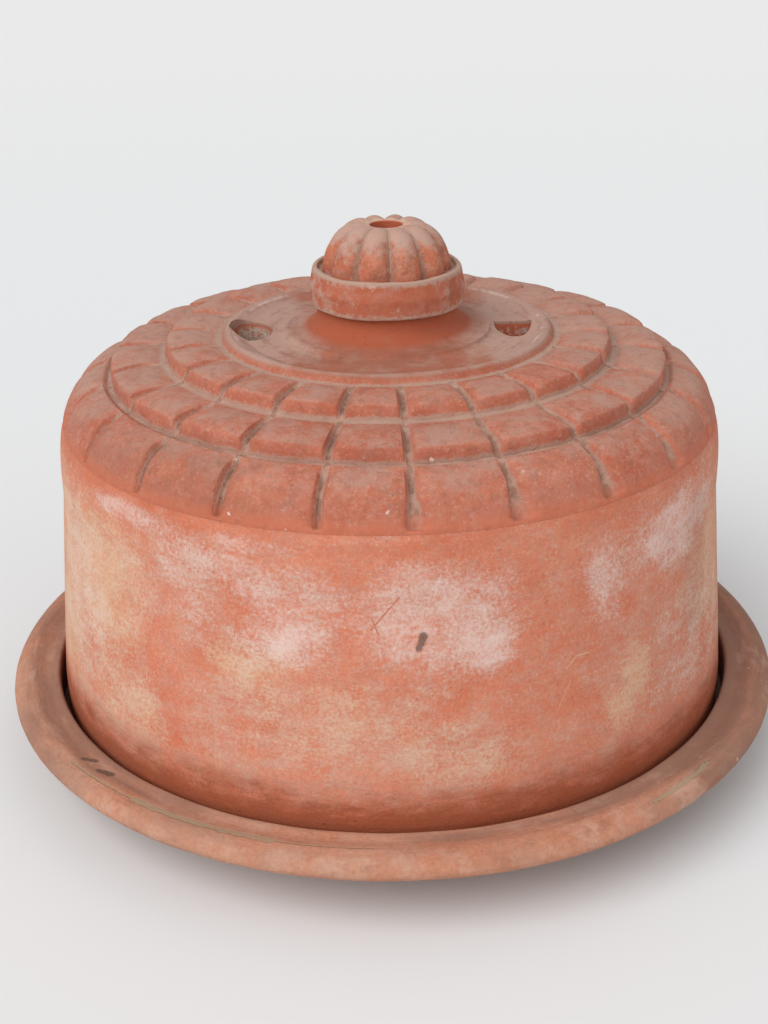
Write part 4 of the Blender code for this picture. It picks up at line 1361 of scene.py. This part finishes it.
@dataclass
class Saucer(TurnedPiece):
    """Dish with a fat rolled rim and a raised table inside."""

    name: str = "saucer_clay_piece"
    node: str = "saucer"
    body: str = "saucer"
    clay_slot: str = "saucer_clay"
    steps: int = 300
    paints: tuple[str, ...] = ("channel",)
    radius: float = 0.09
    height: float = 0.0188
    roll_width: float = 0.0046
    roll_crown: float = 0.0028
    rim_dish: float = 0.0006
    lip_drop: float = 0.0002
    floor_height: float = 0.008
    clearance: float = 0.0013
    foot_radius: float = 0.066
    foot_width: float = 0.008
    foot_height: float = 0.0024
    foot_recess: float = 0.0016
    foot_edge: float = 0.0006
    table_radius: float = 0.055
    table_height: float = 0.005
    rim_inset: float = 0.00014
    rim_wavers: tuple[Waver, ...] = (Waver(0.00016, 0.045, 1.0), Waver(0.00006, 0.008, 2.0))
    rim_drop: float = 0.0002
    top_wavers: tuple[Waver, ...] = (Waver(0.00022, 0.05, 3.0), Waver(0.00012, 0.01, 4.0))
    rim_zone: tuple[float, float, float, float] = (0.07, 0.08, 0.004, 0.008)
    unrolled_mm: float = 85.0
    strokes: tuple[Mark, ...] = (
        Mark((-75.8, 84.0), (-73.6, 82.2), 0.62), Mark((-69.8, 83.8), (-66.8, 82.6), 0.75),
    )

    @property
    def lip_radius(self) -> float:
        """Radius of the rim's inner lip, just clear of the bell."""
        return self.form.foot_radius + self.clearance

    @property
    def crest_radius(self) -> float:
        """Radius at which the rolled rim is highest."""
        return self.radius - self.roll_width

    def section(self) -> Section:
        """Half section, from the middle of the table over the rim and back under the foot."""
        table_top = self.floor_height + self.table_height
        crest = Vector((self.crest_radius, self.height - self.roll_crown))
        corners = [
            Corner(0.0, table_top),
            Corner(self.table_radius, table_top, 0.0012, 0.008),
            Corner(self.table_radius, self.floor_height, 0.0006, 0.002),
            Corner(self.lip_radius, self.floor_height, 0.0008, 0.004),
            Corner(self.lip_radius, self.height - self.lip_drop, 0.0008, 0.002),
            Corner((self.lip_radius + self.crest_radius) / 2, self.height - self.rim_dish, 0.004, 0.0006),
        ]
        corners += [Corner(*point, spacing=0.0006)
                    for point in oval_arc(crest, self.roll_width, self.roll_crown, 90.0, -60.0, 26)]
        corners += [
            Corner(self.foot_radius, self.foot_height, 0.001, 0.002),
            Corner(self.foot_radius - self.foot_edge, 0.0, 0.0003),
            Corner(self.foot_radius - self.foot_width, 0.0, 0.0003),
            Corner(self.foot_radius - self.foot_width - self.foot_edge, self.foot_recess, 0.0003),
            Corner(0.0, self.foot_recess, 0.0, 0.01),
        ]
        return Section(corners, False)

    def shaped(self, at: Vector, azimuth: float, course: float) -> Shaped:
        """Lets the rolled rim waver and paints its inner channel."""
        place = at_azimuth(at.x, azimuth, at.y)
        moved = at.copy()
        inner, outer, low, high = self.rim_zone
        rim = smooth_step(inner, outer, at.x) * smooth_step(low, high, at.y)
        moved.x -= rim * (self.rim_inset + uneven(self.rim_wavers, place))
        moved.y -= rim * (self.rim_drop + uneven(self.top_wavers, place))
        channel = smooth_step(self.crest_radius + 0.0006, self.lip_radius + 0.0008, at.x)
        return moved, {"channel": channel}

    def dress(self, piece: bpy.types.Object) -> None:
        """Gives the saucer its browner clay with painted shade in its channel, at its sides and at its right,
        the lime in its long crack and its stains.
        """
        graph = Graph("stained_saucer_clay")
        clay = FiredClay(Tone.SAUCER, Tone.SAUCER_WARM, Tone.SAUCER_ROSE, 30.0, 9.0, 0.9, 0.07)
        swept = graph.swept(4.0, 3.0)
        channel = graph.painted("channel")
        # Painted shade mixed with brown staining: darker in the channel by the bell, at the sides and back, and
        # at the right.
        aside = graph.y.step(-84.0, -52.0)
        right = graph.x.step(16.0, 52.0) * 0.22
        browned_and_shaded = (channel * 0.36 + aside * 0.44 + right + (swept - 0.5) * 1.5).step(0.15, 0.85)
        pale = (graph.grain(12.0, 7.0, 0.7, 4.0) * 0.5 + graph.swept(2.4, 8.0) * 0.5).step(0.52, 0.64)
        stained = (graph.swept(1.6, 12.0) * 0.6 + graph.grain(3.0, 7.0, 0.76, 11.0) * 0.4).step(0.54, 0.64)
        arc = graph.arc(self.unrolled_mm)
        wobble = graph.grain(2.2, 4.0, 0.7, 5.0)
        crack = drawn(self.crack, arc, graph.radius, wobble) * graph.z.step(15.0, 17.0)
        strokes = drawn(self.strokes, arc, graph.radius, wobble)
        specks = graph.specks(7.0, 0.5, 6.0) * graph.grain(12.0, 1.0, 0.5, 7.0).step(0.5, 0.6)
        colour = graph.lay(
            clay.colour(graph),
            (Tone.SAUCER_DARK, swept.step(0.46, 0.68) * 0.42),
            (Tone.SAUCER_DARK, browned_and_shaded * 0.85),
            (Tone.CHALK, pale * 0.46 * (1.0 - channel * 0.6)),
            (Tone.BROWN_STAIN_AND_SHADE, stained * 0.4),
            (Tone.CRACK_LIME, crack * (0.25 + swept * 0.85)),
            (Tone.SOOT, strokes * 0.75 * graph.z.step(15.0, 16.5)),
            (Tone.LIME, specks * 0.6),
        )
        height = clay.height(graph) - crack * wobble * 0.3
        graph.dress(piece, colour, clay.roughness(graph), height)

    @property
    def crack(self) -> tuple[Mark, ...]:
        """Long crack that follows the crest round the front left, and a short one at the right."""
        crest = self.crest_radius / MM
        return (Mark((-56.0, crest + 0.2), (-24.0, crest - 0.3), 0.75),
                Mark((-76.0, crest + 0.9), (-56.0, crest + 0.2), 0.28),
                Mark((-24.0, crest - 0.3), (-4.0, crest - 0.7), 0.28),
                Mark((54.0, crest + 2.0), (72.0, crest + 1.4), 0.45))


@dataclass(frozen=True)
class PhotoCamera:
    """Camera at the photograph's viewpoint, found from the rims and rings of the cloche."""

    focal_px: float = 1438.0
    image_height_px: float = 1024.0
    sensor_mm: float = 36.0
    distance: float = 0.3074
    height: float = 0.1896
    yaw: float = 0.27
    pitch: float = 24.35
    roll: float = -0.91

    def build(self) -> None:
        """Adds the camera and makes it the scene's own."""
        data = bpy.data.cameras.new("photo_camera")
        data.sensor_width = self.sensor_mm
        data.sensor_fit = "AUTO"
        data.lens = self.focal_px / self.image_height_px * self.sensor_mm
        camera = placed("photo_camera", data)
        turns = ((self.yaw, "Z"), (90.0, "X"), (-self.pitch, "X"), (self.roll, "Z"))
        pose = Matrix.Translation((0.0, -self.distance, self.height))
        for angle, axis in turns:
            pose = pose @ Matrix.Rotation(math.radians(angle), 4, axis)
        camera.matrix_world = pose
        bpy.context.scene.camera = camera


@dataclass(frozen=True)
class SoftLamp:
    """A wide soft light, so far away that it falls alike on the object and on the whole floor."""

    name: str
    azimuth: float
    elevation: float
    spread: float
    strength: float

    def build(self) -> None:
        """Adds the lamp."""
        data = bpy.data.lights.new(self.name, "SUN")
        data.angle = math.radians(self.spread)
        data.energy = self.strength
        lamp = placed(self.name, data)
        place = at_azimuth(1.0, self.azimuth, math.tan(math.radians(self.elevation)))
        lamp.matrix_world = Matrix.Translation(place) @ (-place).to_track_quat("-Z", "Y").to_matrix().to_4x4()


@dataclass(frozen=True)
class Studio:
    """Pale floor, soft lamps and a light sky."""

    floor_size: float = 8.0
    sky_strength: float = 0.51
    lamps: tuple[SoftLamp, ...] = (
        SoftLamp("window_lamp", -46.0, 44.0, 50.0, 1.9),
        SoftLamp("fill_lamp", 34.0, 32.0, 80.0, 0.48),
    )

    def build(self) -> None:
        """Builds the floor, the sky and the lamps."""
        shape = bmesh.new()
        bmesh.ops.create_grid(shape, x_segments=1, y_segments=1, size=self.floor_size / 2)
        floor = meshed("floor", shape)
        graph = Graph("floor_paint")
        paint = graph.mix(Tone.FLOOR_NEAR, Tone.FLOOR_FAR, graph.radius.step(260.0, 1600.0))
        graph.feed(graph.shader.inputs["Base Color"], paint)
        graph.shader.inputs["Roughness"].default_value = 0.9
        graph.shader.inputs["Specular IOR Level"].default_value = 0.1
        floor.data.materials.append(graph.material)
        world = bpy.data.worlds.new("sky")
        world.use_nodes = True
        background = world.node_tree.nodes["Background"]
        background.inputs["Color"].default_value = Tone.WHITE.rgba
        background.inputs["Strength"].default_value = self.sky_strength
        bpy.context.scene.world = world
        for lamp in self.lamps:
            lamp.build()


def main() -> None:
    """Builds the members in the order in which the potter made them, then the studio."""
    logging.basicConfig(level=logging.INFO, format="%(name)s: %(message)s")
    for member in (Wall(), Crown(), InnerBell(), Knob(), Saucer()):
        member.dress(member.build())
    Studio().build()
    PhotoCamera().build()
    bpy.context.scene.view_settings.view_transform = "Standard"


if __name__ == "__main__":
    main()
